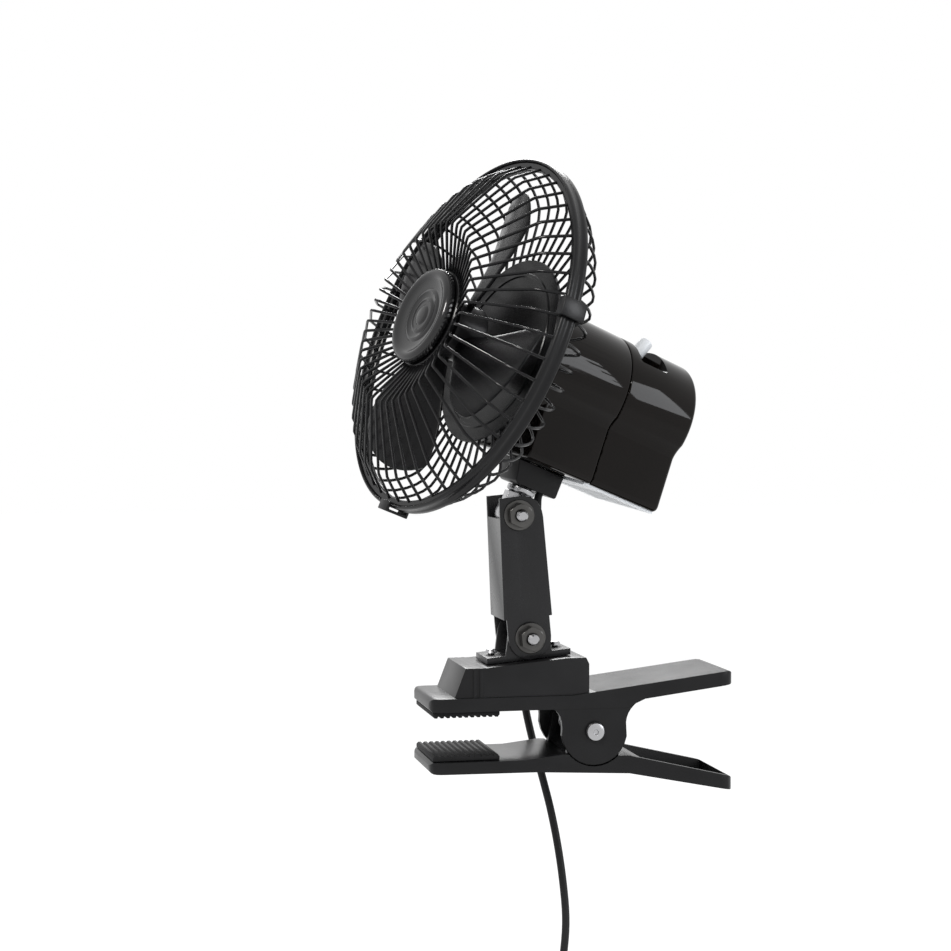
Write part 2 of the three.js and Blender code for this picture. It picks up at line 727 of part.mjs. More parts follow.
function tiltStem() {
  const eye = rodAcross(0, 0, LUG_R, -LUG_HALF, LUG_HALF, 24);
  const foot = HEAD_RISE + BLOCK.base - 2;
  const neck = box(-LUG_R + 1, LUG_R - 1, -LUG_HALF, LUG_HALF, 0, foot - 2);
  const post = turnedUp(
    [
      [0, 2],
      [LUG_HALF, 2],
      [STEM_R, LUG_R],
      [STEM_R, foot - 2],
      [COLLAR_R, foot - 1],
      [COLLAR_R, foot + 1.4],
      [STEM_R, foot + 1.4],
      [STEM_R, HEAD_RISE + SHELL_BASE - SHELL_WALL + 6],
      [0, HEAD_RISE + SHELL_BASE - SHELL_WALL + 6],
    ],
    18,
  );
  return cut(join(eye, neck, post), rodAcross(0, 0, BOLT_HOLE_R, -20, 20));
}

// Sleeves fill the bolt's length between the eye and the arm.
const spacer = (from, to) =>
  turnedAcross(ringProfile(BOLT_R + GAP, BOLT_R + 2.2, from, to), 18);

// ---- Head shell ----

// The head's section: round above, then drawn in to a neck, then a box that flares to its base.
function shellSection(inset) {
  const r = SHELL_R - inset;
  const neck = NECK_HALF - inset;
  const half = BASE_HALF - inset;
  const base = SHELL_BASE + inset;
  const corner = SHELL_CORNER - 0.5 * inset;
  const leave = 16 * DEG; // below the axis, where the round part ends
  const s = new THREE.Shape();
  s.moveTo(r * Math.cos(leave), -r * Math.sin(leave));
  s.absarc(0, 0, r, -leave, Math.PI + leave, false);
  s.quadraticCurveTo(-neck, NECK_Z + 2, -neck, NECK_Z - 1);
  s.lineTo(-half, base + corner);
  s.quadraticCurveTo(-half, base, -half + corner, base);
  s.lineTo(half - corner, base);
  s.quadraticCurveTo(half, base, half, base + corner);
  s.lineTo(neck, NECK_Z - 1);
  s.quadraticCurveTo(neck, NECK_Z + 2, r * Math.cos(leave), -r * Math.sin(leave));
  return s;
}

const ROUND = 6; // segments of the section's curves

function frontHousing() {
  const body = backwards(shellSection(0), BOX_LINE, SEAM, ROUND);
  const nose = turned(
    [
      [0, BOX_LINE - 1],
      [SHELL_R, BOX_LINE - 1],
      [SHELL_R, NOSE_FRONT - 2],
      [SHELL_R - 2, NOSE_FRONT],
      [0, NOSE_FRONT],
    ],
    32,
  );
  const room = backwards(shellSection(SHELL_WALL), BOX_LINE - SHELL_WALL, SEAM - 1, ROUND);
  const noseRoom = turned(
    discProfile(SHELL_R - SHELL_WALL, BOX_LINE - 4, NOSE_FRONT - SHELL_WALL),
    32,
  );
  const mouth = turned(discProfile(BEARING_R + 2.4, 20, 50), 14);
  const socket = postSocket();
  return join(cut(join(body, nose), room, noseRoom, mouth, swingBore(), plateSpace()), socket);
}

// The bore that the stem's post turns in.
const swingBore = () =>
  turnedUp(discProfile(STEM_R + GAP, BLOCK.base - 5, SHELL_BASE + 12), 16);

// A sleeve inside the shell that holds the post.
function postSocket() {
  const sleeve = turnedUp(
    ringProfile(STEM_R + GAP, STEM_R + 3, SHELL_BASE + 0.5, SHELL_BASE + 5.5),
    16,
  );
  return sleeve;
}

function rearCover() {
  const body = backwards(shellSection(0), SEAM - GAP, SHELL_REAR, ROUND);
  const rounding = turnedBack();
  const room = backwards(shellSection(SHELL_WALL), SEAM + 1, SHELL_REAR + SHELL_WALL, ROUND);
  const wellFloor = box(
    -WELL.front - 1.6,
    -WELL.rear + 1.6,
    -WELL.side - 1.6,
    40,
    WELL.floor - 1.8,
    WELL.floor + 20,
  );
  const wellSpace = box(-WELL.front, -WELL.rear, -40, WELL.side, WELL.floor, WELL.floor + 40);
  const outer = body.intersect(rounding);
  const pocket = join(
    cut(outer, room),
    wellFloor.intersect(outer).intersect(backwards(shellSection(0.6), SEAM - 3, SHELL_REAR, ROUND)),
  );
  const knobHole = atKnob(turnedUp(discProfile(SPINDLE_R + 0.5, -12, 12)));
  const slot = box(
    -SHELL_REAR - SHELL_WALL - 1,
    -SHELL_REAR + 1,
    -SWITCH.waist / 2 - GAP,
    SWITCH.waist / 2 + GAP,
    SWITCH.low + 1 - GAP,
    SWITCH.low + SWITCH.length - 1 + SWITCH.travel + GAP,
  );
  return cut(pocket, wellSpace, knobHole, slot, plateSpace());
}

// The recess that the plate under the head lies in.
const plateSpace = () =>
  box(
    -BASE_PLATE.front - GAP,
    -BASE_PLATE.rear + GAP,
    -BASE_PLATE.half - GAP,
    BASE_PLATE.half + GAP,
    SHELL_BASE - 1,
    SHELL_BASE + BASE_PLATE.thick - 0.5,
  );

// The solid that rounds off the rear edge of the head.
function turnedBack() {
  const parts = [];
  for (const [inset, depth] of [
    [5, 0],
    [1.6, 1.6],
    [0, 5],
  ])
    parts.push(backwards(shellSection(inset), SEAM + 1, SHELL_REAR + depth, ROUND));
  return join(...parts);
}

function underPlate() {
  const p = BASE_PLATE;
  const plate = box(-p.front, -p.rear, -p.half, p.half, SHELL_BASE - 1, SHELL_BASE + p.thick - 0.8);
  const vent = (i) => {
    const x = -p.rear - 6 - 4.5 * i;
    return box(x, x + 1.8, -p.half + 6, p.half - 6, SHELL_BASE - 3, SHELL_BASE + 4);
  };
  return cut(plate, ...Array.from({ length: VENTS }, (_, i) => vent(i)));
}

// The block under the head, which the stem's post enters.
function swingBlock() {
  const s = new THREE.Shape();
  const b = BLOCK;
  s.moveTo(-b.front, SHELL_BASE - GAP);
  s.lineTo(-b.front + 2.5, b.base + 1);
  s.lineTo(-b.front + 4, b.base);
  s.lineTo(-b.rear - 0.6, b.base);
  s.lineTo(-b.rear, b.base + 1);
  s.lineTo(-b.rear, SHELL_BASE - GAP);
  s.closePath();
  const pocket = turnedUp(discProfile(GROMMET.r + GAP, b.base - 1, b.base + GROMMET.long + GAP), 14);
  return cut(across(s, -b.half, b.half), swingBore(), pocket.translate([GROMMET.at, 0, 0]));
}

// The grommet round the lead in the block's underside.
const leadGrommet = () =>
  turnedUp(
    ringProfile(CORD_R + GAP, GROMMET.r, BLOCK.base, BLOCK.base + GROMMET.long),
    14,
  ).translate([GROMMET.at, 0, 0]);

// ---- Guard ----

// A flat rib along a line of radius and k, in the plane of the fan's axis.
function ribShape(line) {
  const half = RIB / 2;
  const sides = [[], []];
  line.forEach(([r, k], i) => {
    const before = line[Math.max(i - 1, 0)];
    const after = line[Math.min(i + 1, line.length - 1)];
    const a = new THREE.Vector2(r - before[0], k - before[1]);
    const b = new THREE.Vector2(after[0] - r, after[1] - k);
    const along = a.normalize().add(b.normalize()).normalize();
    const widen = i && i < line.length - 1 ? half / Math.max(along.dot(b.normalize()), 0.7) : half;
    sides[0].push([r - along.y * widen, k + along.x * widen]);
    sides[1].unshift([r + along.y * widen, k - along.x * widen]);
  });
  return polygon([...sides[0], ...sides[1]]);
}

// Ribs in a circle, joined to the rings that hold them.
function ribbed(line, count, ...rings) {
  const rib = prism(ribShape(line), RIB).translate(0, 0, -RIB / 2);
  const lay = new THREE.Matrix4().set(0, -1, 0, -RIM, 0, 0, -1, 0, 1, 0, 0, 0, 0, 0, 0, 1);
  const ribs = [];
  for (let i = 0; i < count; i++)
    ribs.push(
      solid(
        rib
          .clone()
          .applyMatrix4(lay)
          .rotateX((2 * Math.PI * (i + 0.5)) / count),
      ),
    );
  return wasm.Manifold.union([...rings, ...ribs]);
}

const ring = (inner, outer, low, high, segments = RIBS / 2) =>
  turned(ringProfile(inner, outer, RIM + low, RIM + high), segments);

const RING_R = RIM_R - RIM_WALL - GAP; // outer radius of both guards' rings

function frontGuard() {
  const line = [
    [HUB_RING.r + HUB_RING.wide - 0.8, HUB_RING.k],
    [CREST.r, CREST.k],
    [SHOULDER.r, SHOULDER.k],
    [RING_R - RING_WIDE / 2, RING_DEEP / 2],
  ];
  const hub = ring(
    HUB_RING.r - HUB_RING.wide,
    HUB_RING.r + HUB_RING.wide,
    HUB_RING.k - 1.2,
    HUB_RING.k + 1.2,
  );
  const rim = ring(RING_R - RING_WIDE, RING_R, GAP / 2, RING_DEEP);
  return ribbed(line, RIBS, rim, hub);
}

function rearGuard() {
  const line = [
    [PLATE_R - 1.5, PLATE_K],
    ...REAR_SHOULDER.map(({ r, k }) => [r, PLATE_K + k]),
    [RING_R - RING_WIDE / 2, -RING_DEEP / 2],
  ];
  const rim = ring(RING_R - RING_WIDE, RING_R, -RING_DEEP, -GAP / 2);
  const plate = turned(
    [
      [PLATE_HOLE, RIM + PLATE_K - PLATE_THICK / 2],
      [PLATE_R, RIM + PLATE_K - PLATE_THICK / 2],
      [PLATE_R, RIM + PLATE_K + PLATE_THICK / 2],
      [PLATE_HOLE, RIM + PLATE_K + PLATE_THICK / 2],
    ],
    RIBS / 2,
  );
  return ribbed(line, RIBS, rim, plate);
}

// The band that holds the two guards' rings together: a shallow channel.
const rimBand = () =>
  turned(
    [
      [RIM_R - RIM_WALL, RIM - RIM_HALF],
      [RIM_R, RIM - RIM_HALF],
      [RIM_R, RIM + RIM_HALF],
      [RIM_R - RIM_WALL, RIM + RIM_HALF],
    ],
    RIBS / 2,
  );

const CLIPS = { side: 282.5 * DEG, bottom: 179 * DEG }; // places on the rim, from the top
const CLIP_LONG = 9;

// A folded clip over the band.
function rimClip(at) {
  const low = RIM_R + GAP;
  const outer = box(-RIM - 6.2, -RIM + 6.2, -CLIP_LONG / 2, CLIP_LONG / 2, low - 3.4, low + 1.6);
  const inner = box(-RIM - 4.6, -RIM + 4.6, -CLIP_LONG, CLIP_LONG, low - 9, low + 0.2);
  return turnRound(cut(outer, inner), at);
}

// Turns a piece at the top of the rim round the fan's axis; positive is towards +Y.
const turnRound = (body, angle) => body.rotate([-angle / DEG, 0, 0]);

// The badge: a dished disc with turned rings.
function badge() {
  const f = RIM + BADGE_FRONT;
  const back = f - BADGE_THICK;
  return turned(
    [
      [0, back],
      [BADGE_R, back],
      [BADGE_R, f - 1],
      [BADGE_R - 2.4, f],
      [BADGE_R - 5, f - 1],
      [BADGE_R - 9.6, f - 2.2],
      [BADGE_R - 12, f - 1.6],
      [BADGE_R - 16, f - 2],
      [0, f - 1.2],
    ],
    24,
  );
}

// ---- Fan ----

// One blade as a closed sheet: broad, cambered, more pitch at the root than at the tip.
function bladeGeometry() {
  const across_ = 5;
  const along = 4;
  const spots = [];
  for (const face of [0.5, -0.5])
    for (let i = 0; i <= along; i++)
      for (let j = 0; j <= across_; j++) {
        const t = i / along;
        const s = j / across_ - 0.5;
        const r = HUB_R - 2 + (BLADE_R - HUB_R + 2) * t * (1 - 0.1 * s * s * 4 * t);
        const spread = (22 + 32 * Math.sin(Math.PI * (0.16 + 0.6 * t))) * DEG;
        const angle = s * spread + 10 * DEG * t;
        const pitch = BLADE_PITCH * (1.25 - 0.45 * t);
        const chord = r * s * spread;
        const bow = 2.4 * Math.sin(Math.PI * (s + 0.5));
        const k = -chord * Math.tan(pitch) * 0.62 + bow + face * BLADE_THICK;
        spots.push([-k, r * Math.sin(angle), r * Math.cos(angle)]);
      }
  const row = across_ + 1;
  const sheet = row * (along + 1);
  const faces = [];
  const quad = (a, b, c, d) => faces.push(a, b, c, a, c, d);
  for (let i = 0; i < along; i++)
    for (let j = 0; j < across_; j++) {
      const a = i * row + j;
      quad(a, a + 1, a + row + 1, a + row);
      quad(sheet + a, sheet + a + row, sheet + a + row + 1, sheet + a + 1);
    }
  for (let j = 0; j < across_; j++) {
    const tip = along * row + j;
    quad(j, sheet + j, sheet + j + 1, j + 1);
    quad(tip, tip + 1, sheet + tip + 1, sheet + tip);
  }
  for (let i = 0; i < along; i++) {
    const [near, far] = [i * row, i * row + across_];
    quad(near, near + row, sheet + near + row, sheet + near);
    quad(far, sheet + far, sheet + far + row, far + row);
  }
  const geometry = new THREE.BufferGeometry();
  geometry.setAttribute("position", new THREE.Float32BufferAttribute(spots.flat(), 3));
  geometry.setIndex(faces);
  return geometry;
}

function fanBlade() {
  const mid = RIM + HUB_FRONT - HUB_DEEP / 2;
  const hub = turned(
    [
      [0, RIM + HUB_FRONT - HUB_DEEP],
      [HUB_R, RIM + HUB_FRONT - HUB_DEEP],
      [HUB_R, RIM + HUB_FRONT - 3],
      [HUB_R - 3, RIM + HUB_FRONT],
      [0, RIM + HUB_FRONT],
    ],
    30,
  );
  const bore = turned(discProfile(SHAFT_R + GAP, 0, 120), 16);
  const recess = turned(discProfile(HUB_R - 3, 0, mid - 2), 24);
  const blades = [];
  for (let i = 0; i < BLADES; i++)
    blades.push(
      solid(
        bladeGeometry()
          .translate(-mid, 0, 0)
          .rotateX((2 * Math.PI * (i + 0.28)) / BLADES),
      ),
    );
  return cut(wasm.Manifold.union([hub, ...blades]), bore, recess);
}

const spinnerNut = () =>
  turned(
    [
      [SHAFT_R + GAP, RIM + HUB_FRONT + GAP],
      [SPINNER_R, RIM + HUB_FRONT + GAP],
      [SPINNER_R - 1, RIM + HUB_FRONT + SPINNER_LONG - 3],
      [SHAFT_R + GAP, RIM + HUB_FRONT + SPINNER_LONG - 3],
    ],
    12,
  );

const shaft = () => turned(discProfile(SHAFT_R, SHAFT_REAR, SHAFT_FRONT), 10);

function stator() {
  const core = turned(ringProfile(ROTOR_R + 0.6, STATOR_R, STATOR_REAR, STATOR_FRONT), 24);
  const slots = [];
  for (let i = 0; i < POLES; i++)
    slots.push(
      box(-STATOR_FRONT - 1, -STATOR_REAR + 1, -3.4, 3.4, ROTOR_R - 2, STATOR_R - 4).rotate([
        (360 * (i + 0.5)) / POLES,
        0,
        0,
      ]),
    );
  return cut(core, ...slots);
}

const winding = (low, high) =>
  turned(
    [
      [ROTOR_R + 1, low],
      [STATOR_R - 2, low],
      [STATOR_R - 4, high],
      [ROTOR_R + 3, high],
    ],
    12,
  );

const rotorCore = () =>
  turned(ringProfile(SHAFT_R + GAP, ROTOR_R, STATOR_REAR + 1, STATOR_FRONT - 1), 28);

const bearing = (middle) =>
  turned(
    ringProfile(
      SHAFT_R + GAP,
      BEARING_R,
      middle - BEARING_LONG / 2,
      middle + BEARING_LONG / 2,
    ),
    16,
  );

// A motor end bracket: a bar across the shell with a bearing seat in its middle.
function endBracket(at) {
  const reach = SHELL_R - SHELL_WALL - GAP;
  const plate = turned(discProfile(reach, at - PLATE_WEB / 2, at + PLATE_WEB / 2));
  const bar = box(-at - 5, -at + 5, -reach - 1, reach + 1, -BAR_HALF, BAR_HALF);
  const seat = turned(discProfile(BEARING_R + 2, at - 3, at + 3), 16);
  const bore = turned(discProfile(BEARING_R + GAP, at - 5, at + 5), 16);
  const fitted = plate.intersect(bar).intersect(shellRoom(at + 5, at - 5));
  return cut(join(fitted, seat), bore);
}

// A ring between the stator and the shell.
function statorCradle() {
  const outer = SHELL_R - SHELL_WALL - GAP;
  const band = turned(ringProfile(STATOR_R + GAP, outer, STATOR_REAR + 6, STATOR_FRONT - 6), 24);
  return band.intersect(shellRoom(STATOR_FRONT, STATOR_REAR));
}

// The space inside the shell, less a small clearance.
const shellRoom = (front, rear) =>
  backwards(shellSection(SHELL_WALL + GAP), front, rear, ROUND);

function worm() {
  const rows = 3;
  const points = [[SHAFT_R + GAP, WORM_REAR]];
  const step = (WORM_FRONT - WORM_REAR) / rows;
  for (let i = 0; i < rows; i++) {
    const at = WORM_REAR + i * step;
    points.push([WORM_R - 0.9, at], [WORM_R, at + 0.35 * step], [WORM_R, at + 0.6 * step]);
  }
  points.push([WORM_R - 0.9, WORM_FRONT], [SHAFT_R + GAP, WORM_FRONT]);
  return turned(points, 12);
}

const WHEEL_SIDE = WORM_R + WHEEL_R + 0.5; // from the shaft to the wheel's spindle

function wormWheel() {
  const s = new THREE.Shape();
  for (let i = 0; i < WHEEL_TEETH; i++) {
    const step = (2 * Math.PI) / WHEEL_TEETH;
    const spots = [
      [WHEEL_R - 1, 0],
      [WHEEL_R, 0.3],
      [WHEEL_R, 0.55],
      [WHEEL_R - 1, 0.85],
    ];
    for (const [r, share] of spots) {
      const a = step * (i + share);
      if (i || share) s.lineTo(r * Math.cos(a), r * Math.sin(a));
      else s.moveTo(r * Math.cos(a), r * Math.sin(a));
    }
  }
  s.closePath();
  const wheel = upright(s, -WHEEL_THICK / 2, WHEEL_THICK / 2);
  const bore = turnedUp(discProfile(SPINDLE_R + GAP, -9, 9), 14);
  return cut(wheel, bore).translate([-(WORM_FRONT + WORM_REAR) / 2, WHEEL_SIDE, 0]);
}

// The wheel's post stands on the rear bracket.
function wheelPost() {
  const x = -(WORM_FRONT + WORM_REAR) / 2;
  const post = turnedUp(discProfile(SPINDLE_R, -WHEEL_THICK / 2 - 4.6, WHEEL_THICK / 2 + 3), 14);
  const cap = turnedUp(discProfile(SPINDLE_R + 1.6, WHEEL_THICK / 2 + GAP, WHEEL_THICK / 2 + 2), 14);
  const reach = -REAR_BRACKET + PLATE_WEB / 2 + GAP;
  const arm = box(
    reach - x,
    3,
    -3,
    3,
    -WHEEL_THICK / 2 - 4.6,
    -WHEEL_THICK / 2 - GAP,
  );
  return join(post, cap, arm).translate([x, WHEEL_SIDE, 0]);
}

// ---- Controls ----

// The knob leans backwards out of its recess.
const atKnob = (body) => body.rotate([0, KNOB.lean, 0]).translate([-KNOB.at, KNOB.side, WELL.floor]);

function swingKnob() {
  const lean = KNOB.lean * DEG;
  const foot = KNOB.travel + (GAP + (KNOB.r - 0.5) * Math.sin(lean)) / Math.cos(lean);
  const body = turnedUp(
    [
      [0, -7],
      [SPINDLE_R, -7],
      [SPINDLE_R, foot],
      [KNOB.r - 0.5, foot],
      [KNOB.r, foot + 1],
      [KNOB.r, KNOB.rise - 1],
      [KNOB.r - 1, KNOB.rise],
      [0, KNOB.rise],
    ],
    14,
  );
  return atKnob(body);
}

// A slider on the rear face, with a waist in the cover's slot and a foot inside.
function speedSwitch() {
  const [half, low, high] = [SWITCH.width / 2, SWITCH.low, SWITCH.low + SWITCH.length];
  const face = -SHELL_REAR + GAP;
  const side = polygon([
    [face, low],
    [face + SWITCH.rise, low + 1],
    [face + SWITCH.rise, high - 1],
    [face, high],
  ]);
  const thumb = across(side, -half, half);
  const inner = -SHELL_REAR - SHELL_WALL - GAP;
  const waist = SWITCH.waist / 2;
  return join(
    thumb,
    box(inner - 1, face + 1, -waist, waist, low + 1, high - 1),
    box(inner - 2, inner, -half, half, low, high),
  );
}

// ---- Leads and cord ----

const CORD_Y = BOX_HALF + GAP + GLAND_LONG;

function clampGland() {
  const y = BOX_HALF + GAP;
  return turnedAcross(
    [
      [CORD_R + GAP, y - BOX_WALL - 2],
      [CORD_R + 1.6, y - BOX_WALL - 2],
      [CORD_R + 1.6, y],
      [GLAND_R, y],
      [GLAND_R, y + 2],
      [CORD_R + 1.3, y + GLAND_LONG],
      [CORD_R + GAP, y + GLAND_LONG],
    ],
    12,
  ).translate([GLAND.x, 0, GLAND.z]);
}

// The free cord hangs from its gland to the tied coil.
const CORD_DROP = [
  [GLAND.x, CORD_Y + GAP, GLAND.z],
  [GLAND.x, CORD_Y + 4.3, GLAND.z],
  [43.8, 46.6, 12.5],
  [44.8, 52.4, 6.6],
  [46.2, 54.6, -2],
  [47.8, 54, -12],
  [51, 50.8, -28],
  [54.7, 47.4, -44],
  [58.2, 44.3, -60],
  [61.2, 41.4, -78],
  [63.2, 38.6, -96],
  [64, 35.8, -113],
  [62.6, 33.2, -128],
];

const lead = (points, steps) => tube(smooth(points), CORD_R, steps, CORD_SIDES);

// A tied coil: the cord winds in through one layer and out again through the next, twice.
class CoilLine extends THREE.Curve {
  constructor() {
    super();
    this.turns = COIL_TURNS + (COIL_EXIT - COIL_ENTRY) / (2 * Math.PI);
    this.arcLengthDivisions = 8 * COIL_STEPS * COIL_TURNS;
  }

  getPoint(t, target = new THREE.Vector3()) {
    const end = 0.004; // share of the line in each straight end
    const turn = this.turns * THREE.MathUtils.clamp((t - end) / (1 - 2 * end), 0, 1);
    const layerTurns = this.turns / COIL_LAYERS;
    const layer = turn / layerTurns;
    const fold = Math.abs(layer - 2 * Math.round(layer / 2)); // 0 outside, 1 inside
    const r = COIL_IN + COIL_PITCH * layerTurns * (1 - fold);
    let climb = 0;
    for (let i = 1; i < COIL_LAYERS; i++)
      climb += THREE.MathUtils.clamp(2 * (turn - i * layerTurns) + 0.5, 0, 1);
    const angle = COIL_ENTRY + 2 * Math.PI * turn;
    const out = (2 * CORD_R * (Math.max(t - 1 + end, 0) - Math.max(end - t, 0))) / end;
    return target.set(
      COIL.x + r * Math.cos(angle) - out * Math.sin(angle),
      COIL.y + COIL_PITCH * (climb - (COIL_LAYERS - 1) / 2),
      COIL.z + r * Math.sin(angle) + out * Math.cos(angle),
    );
  }
}

const coilLine = new CoilLine();
const coilStart = coilLine.getPoint(0);
const coilEnd = coilLine.getPoint(1);
const coilWay = coilLine.getPoint(0.001).sub(coilStart).normalize();

// The drop ends square to the coil's first face.
function cordDrop() {
  const at = (back) => coilStart.clone().addScaledVector(coilWay, -back).toArray();
  return [...CORD_DROP, at(14 + GAP), at(4.5 + GAP), at(GAP)];
}

function leastGap(curve, r, steps) {
  const spots = curve.getSpacedPoints(steps * 4);
  const skip = Math.ceil((6 * r) / (curve.getLength() / (steps * 4)));
  let least = Infinity;
  for (let i = 0; i < spots.length; i++)
    for (let j = i + skip; j < spots.length; j++)
      least = Math.min(least, spots[i].distanceTo(spots[j]));
  return least - 2 * r;
}

const coilSteps = Math.round(COIL_STEPS * coilLine.turns) + 2;
console.log("cord_coil least gap", leastGap(coilLine, CORD_R, coilSteps).toFixed(2), "mm");

// The band that ties the coil.
function cordTie() {
  const layers = (COIL_PITCH * (COIL_LAYERS - 1)) / 2 + CORD_R + 0.6;
  const low = COIL_IN - CORD_R - 0.9;
  const high = COIL_IN + (COIL_PITCH * coilLine.turns) / COIL_LAYERS + CORD_R + 0.9;
  const t = TIE.thick;
  const half = TIE.wide / 2;
  const band = cut(
    box(-half, half, -layers - t, layers + t, low - t, high + t),
    box(-half - 1, half + 1, -layers, layers, low, high),
  );
  return band.translate([COIL.x, COIL.y, COIL.z]);
}

function farLead() {
  const points = [coilEnd.z - GAP, coilEnd.z - FAR_LEAD / 2, coilEnd.z - FAR_LEAD];
  return lead(
    points.map((z) => [coilEnd.x, coilEnd.y, z]),
    2,
  );
}

const PLUG_TOP = coilEnd.z - FAR_LEAD - GAP;

// A moulded two-pin plug that hangs from the far lead.
function plug() {
  const [half, body, foot] = [PLUG.width / 2, PLUG_TOP - PLUG.neck, PLUG.neck + PLUG.length];
  const s = new THREE.Shape();
  s.moveTo(-5, body);
  s.quadraticCurveTo(-half + 2, body - 2, -half + 1, body - 12);
  s.lineTo(-half, PLUG_TOP - foot + 3);
  s.quadraticCurveTo(-half, PLUG_TOP - foot, -half + 3, PLUG_TOP - foot);
  s.lineTo(half - 3, PLUG_TOP - foot);
  s.quadraticCurveTo(half, PLUG_TOP - foot, half, PLUG_TOP - foot + 3);
  s.lineTo(half - 1, body - 12);
  s.quadraticCurveTo(half - 2, body - 2, 5, body);
  s.closePath();
  const thick = PLUG.thick / 2;
  const shell = across(s, -thick, thick, 4);
  const neck = turnedUp(
    [
      [0, body - 3],
      [4.6, body - 3],
      [3.2, PLUG_TOP],
      [0, PLUG_TOP],
    ],
    10,
  );
  const bores = [-1, 1].map((side) => pinRod(side, PLUG.pinR + GAP, PLUG_TOP - foot + 6));
  return cut(join(shell, neck), ...bores).translate([coilEnd.x, coilEnd.y, 0]);
}

const pinRod = (side, r, top) =>
  turnedUp(discProfile(r, PLUG_TOP - PLUG.neck - PLUG.length - PLUG.pin, top), 10).translate([
    (side * PLUG.spread) / 2,
    0,
    0,
  ]);

const plugPin = (side) =>
  pinRod(side, PLUG.pinR, PLUG_TOP - PLUG.neck - PLUG.length + 6 - GAP).translate([
    coilEnd.x,
    coilEnd.y,
    0,
  ]);

// Leads held in the fan, from the swing block down to the gland.
const LEAD_UPPER = [
  [10.04, 3.09, HEAD_RISE + BLOCK.base - GAP],
  [10.3, 3.1, 11.4],
  [12.4, 3.5, 6],
  [14.5, 3.9, 0.5],
  [14.2, 4, -3.2],
];
const LEAD_ARM = [
  [7, 6, 41],
  [7, 10.8, 32],
  [7, 10.8, 22],
  [6.8, 8.2, 13],
  [6, 6.4, 7],
];
const LEAD_BASE = [
  [LEAD_X - 0.6, LEAD_Y - 0.6, 34],
  [LEAD_X, LEAD_Y, 30],
  [LEAD_X, LEAD_Y, 25],
  [41.5, 9.5, 18.5],
  [43.2, 13.5, 15],
  [GLAND.x, BOX_HALF - BOX_WALL - 2 + GAP - GAP, GLAND.z],
];

// ---- Assembly ----

const fan = new THREE.Group();

const clamp = new THREE.Group();
fan.add(clamp);
clamp.add(piece("upper_lever", upperLever(), PLASTIC()));
clamp.add(piece("upper_pad", pad(0, -1), RUBBER()));
clamp.add(piece("lower_lever", lowerLever(), PLASTIC()));
clamp.add(piece("lower_pad", pad(-BOARD, 1), RUBBER()));
clamp.add(piece("pivot_pin", pivotPin(), ZINC()));
clamp.add(piece("pivot_clip", pivotClip(), ZINC()));
clamp.add(piece("clamp_spring", tube(springLine, SPRING_WIRE / 2, SPRING_STEPS, 5), STEEL()));
clamp.add(piece("base_bracket", baseBracket(), PAINTED()));
clamp.add(piece("bracket_screw_front", bracketScrew(CHUTE.x - 16), ZINC()));
clamp.add(piece("bracket_screw_rear", bracketScrew(CHUTE.x + 16), ZINC()));
clamp.add(piece("cord_gland", clampGland(), RUBBER()));
clamp.add(piece("lead_base", lead(LEAD_BASE, 8), RUBBER()));
clamp.add(piece("power_cord", lead(cordDrop(), 20), RUBBER()));
clamp.add(piece("cord_coil", tube(coilLine, CORD_R, coilSteps, COIL_SIDES), RUBBER()));
clamp.add(piece("cord_tie", cordTie(), PLASTIC()));
clamp.add(piece("far_lead", farLead(), RUBBER()));
clamp.add(piece("plug", plug(), RUBBER()));
clamp.add(piece("plug_pin_left", plugPin(-1), ZINC()));
clamp.add(piece("plug_pin_right", plugPin(1), ZINC()));

const arm = new THREE.Group();
arm.position.set(LOWER_BOLT.x, 0, LOWER_BOLT.z);
arm.rotation.y = ARM_LEAN;
clamp.add(arm);
arm.add(piece("arm_channel", armChannel(), PAINTED()));
arm.add(piece("lead_arm", lead(LEAD_ARM, 6), RUBBER()));
arm.add(piece("lower_bolt", bolt(), ZINC()));
arm.add(piece("lower_washer", washer(), STEEL()));
arm.add(piece("lower_nut", nut(), STEEL()));

const upper = new THREE.Group();
upper.position.set(0, 0, ARM_LENGTH);
arm.add(upper);
upper.add(piece("upper_bolt", bolt(), ZINC()));
upper.add(piece("upper_washer", washer(), STEEL()));
upper.add(piece("upper_nut", nut(), STEEL()));
const inside = ARM_HALF - ARM_WALL - GAP;
upper.add(piece("near_spacer", spacer(-inside, -LUG_HALF - GAP), ZINC()));
upper.add(piece("far_spacer", spacer(LUG_HALF + GAP, inside), ZINC()));

const stem = new THREE.Group();
stem.rotation.y = HEAD_TILT - ARM_LEAN;
upper.add(stem);
stem.add(piece("tilt_stem", tiltStem(), ZINC()));
stem.add(piece("lead_upper", lead(LEAD_UPPER, 5), RUBBER()));

const head = new THREE.Group();
head.position.z = HEAD_RISE;
head.rotation.z = HEAD_SWING;
stem.add(head);
head.add(piece("front_housing", frontHousing(), GLOSS()));
head.add(piece("rear_cover", rearCover(), GLOSS()));
head.add(piece("underside_plate", underPlate(), PALE()));
head.add(piece("swing_block", swingBlock(), PLASTIC()));
head.add(piece("lead_grommet", leadGrommet(), RUBBER()));
head.add(piece("front_guard", frontGuard(), WIRE()));
head.add(piece("rear_guard", rearGuard(), WIRE()));
head.add(piece("rim_band", rimBand(), PLASTIC()));
head.add(piece("rim_clip_side", rimClip(CLIPS.side), PLASTIC()));
head.add(piece("rim_clip_bottom", rimClip(CLIPS.bottom), PLASTIC()));
head.add(piece("badge", badge(), PLASTIC()));
head.add(piece("stator", stator(), STEEL()));
head.add(piece("stator_cradle", statorCradle(), PLASTIC()));
head.add(piece("winding_front", winding(STATOR_FRONT + GAP, STATOR_FRONT + 7), COPPER()));
head.add(piece("winding_rear", winding(STATOR_REAR - 7, STATOR_REAR - GAP), COPPER()));
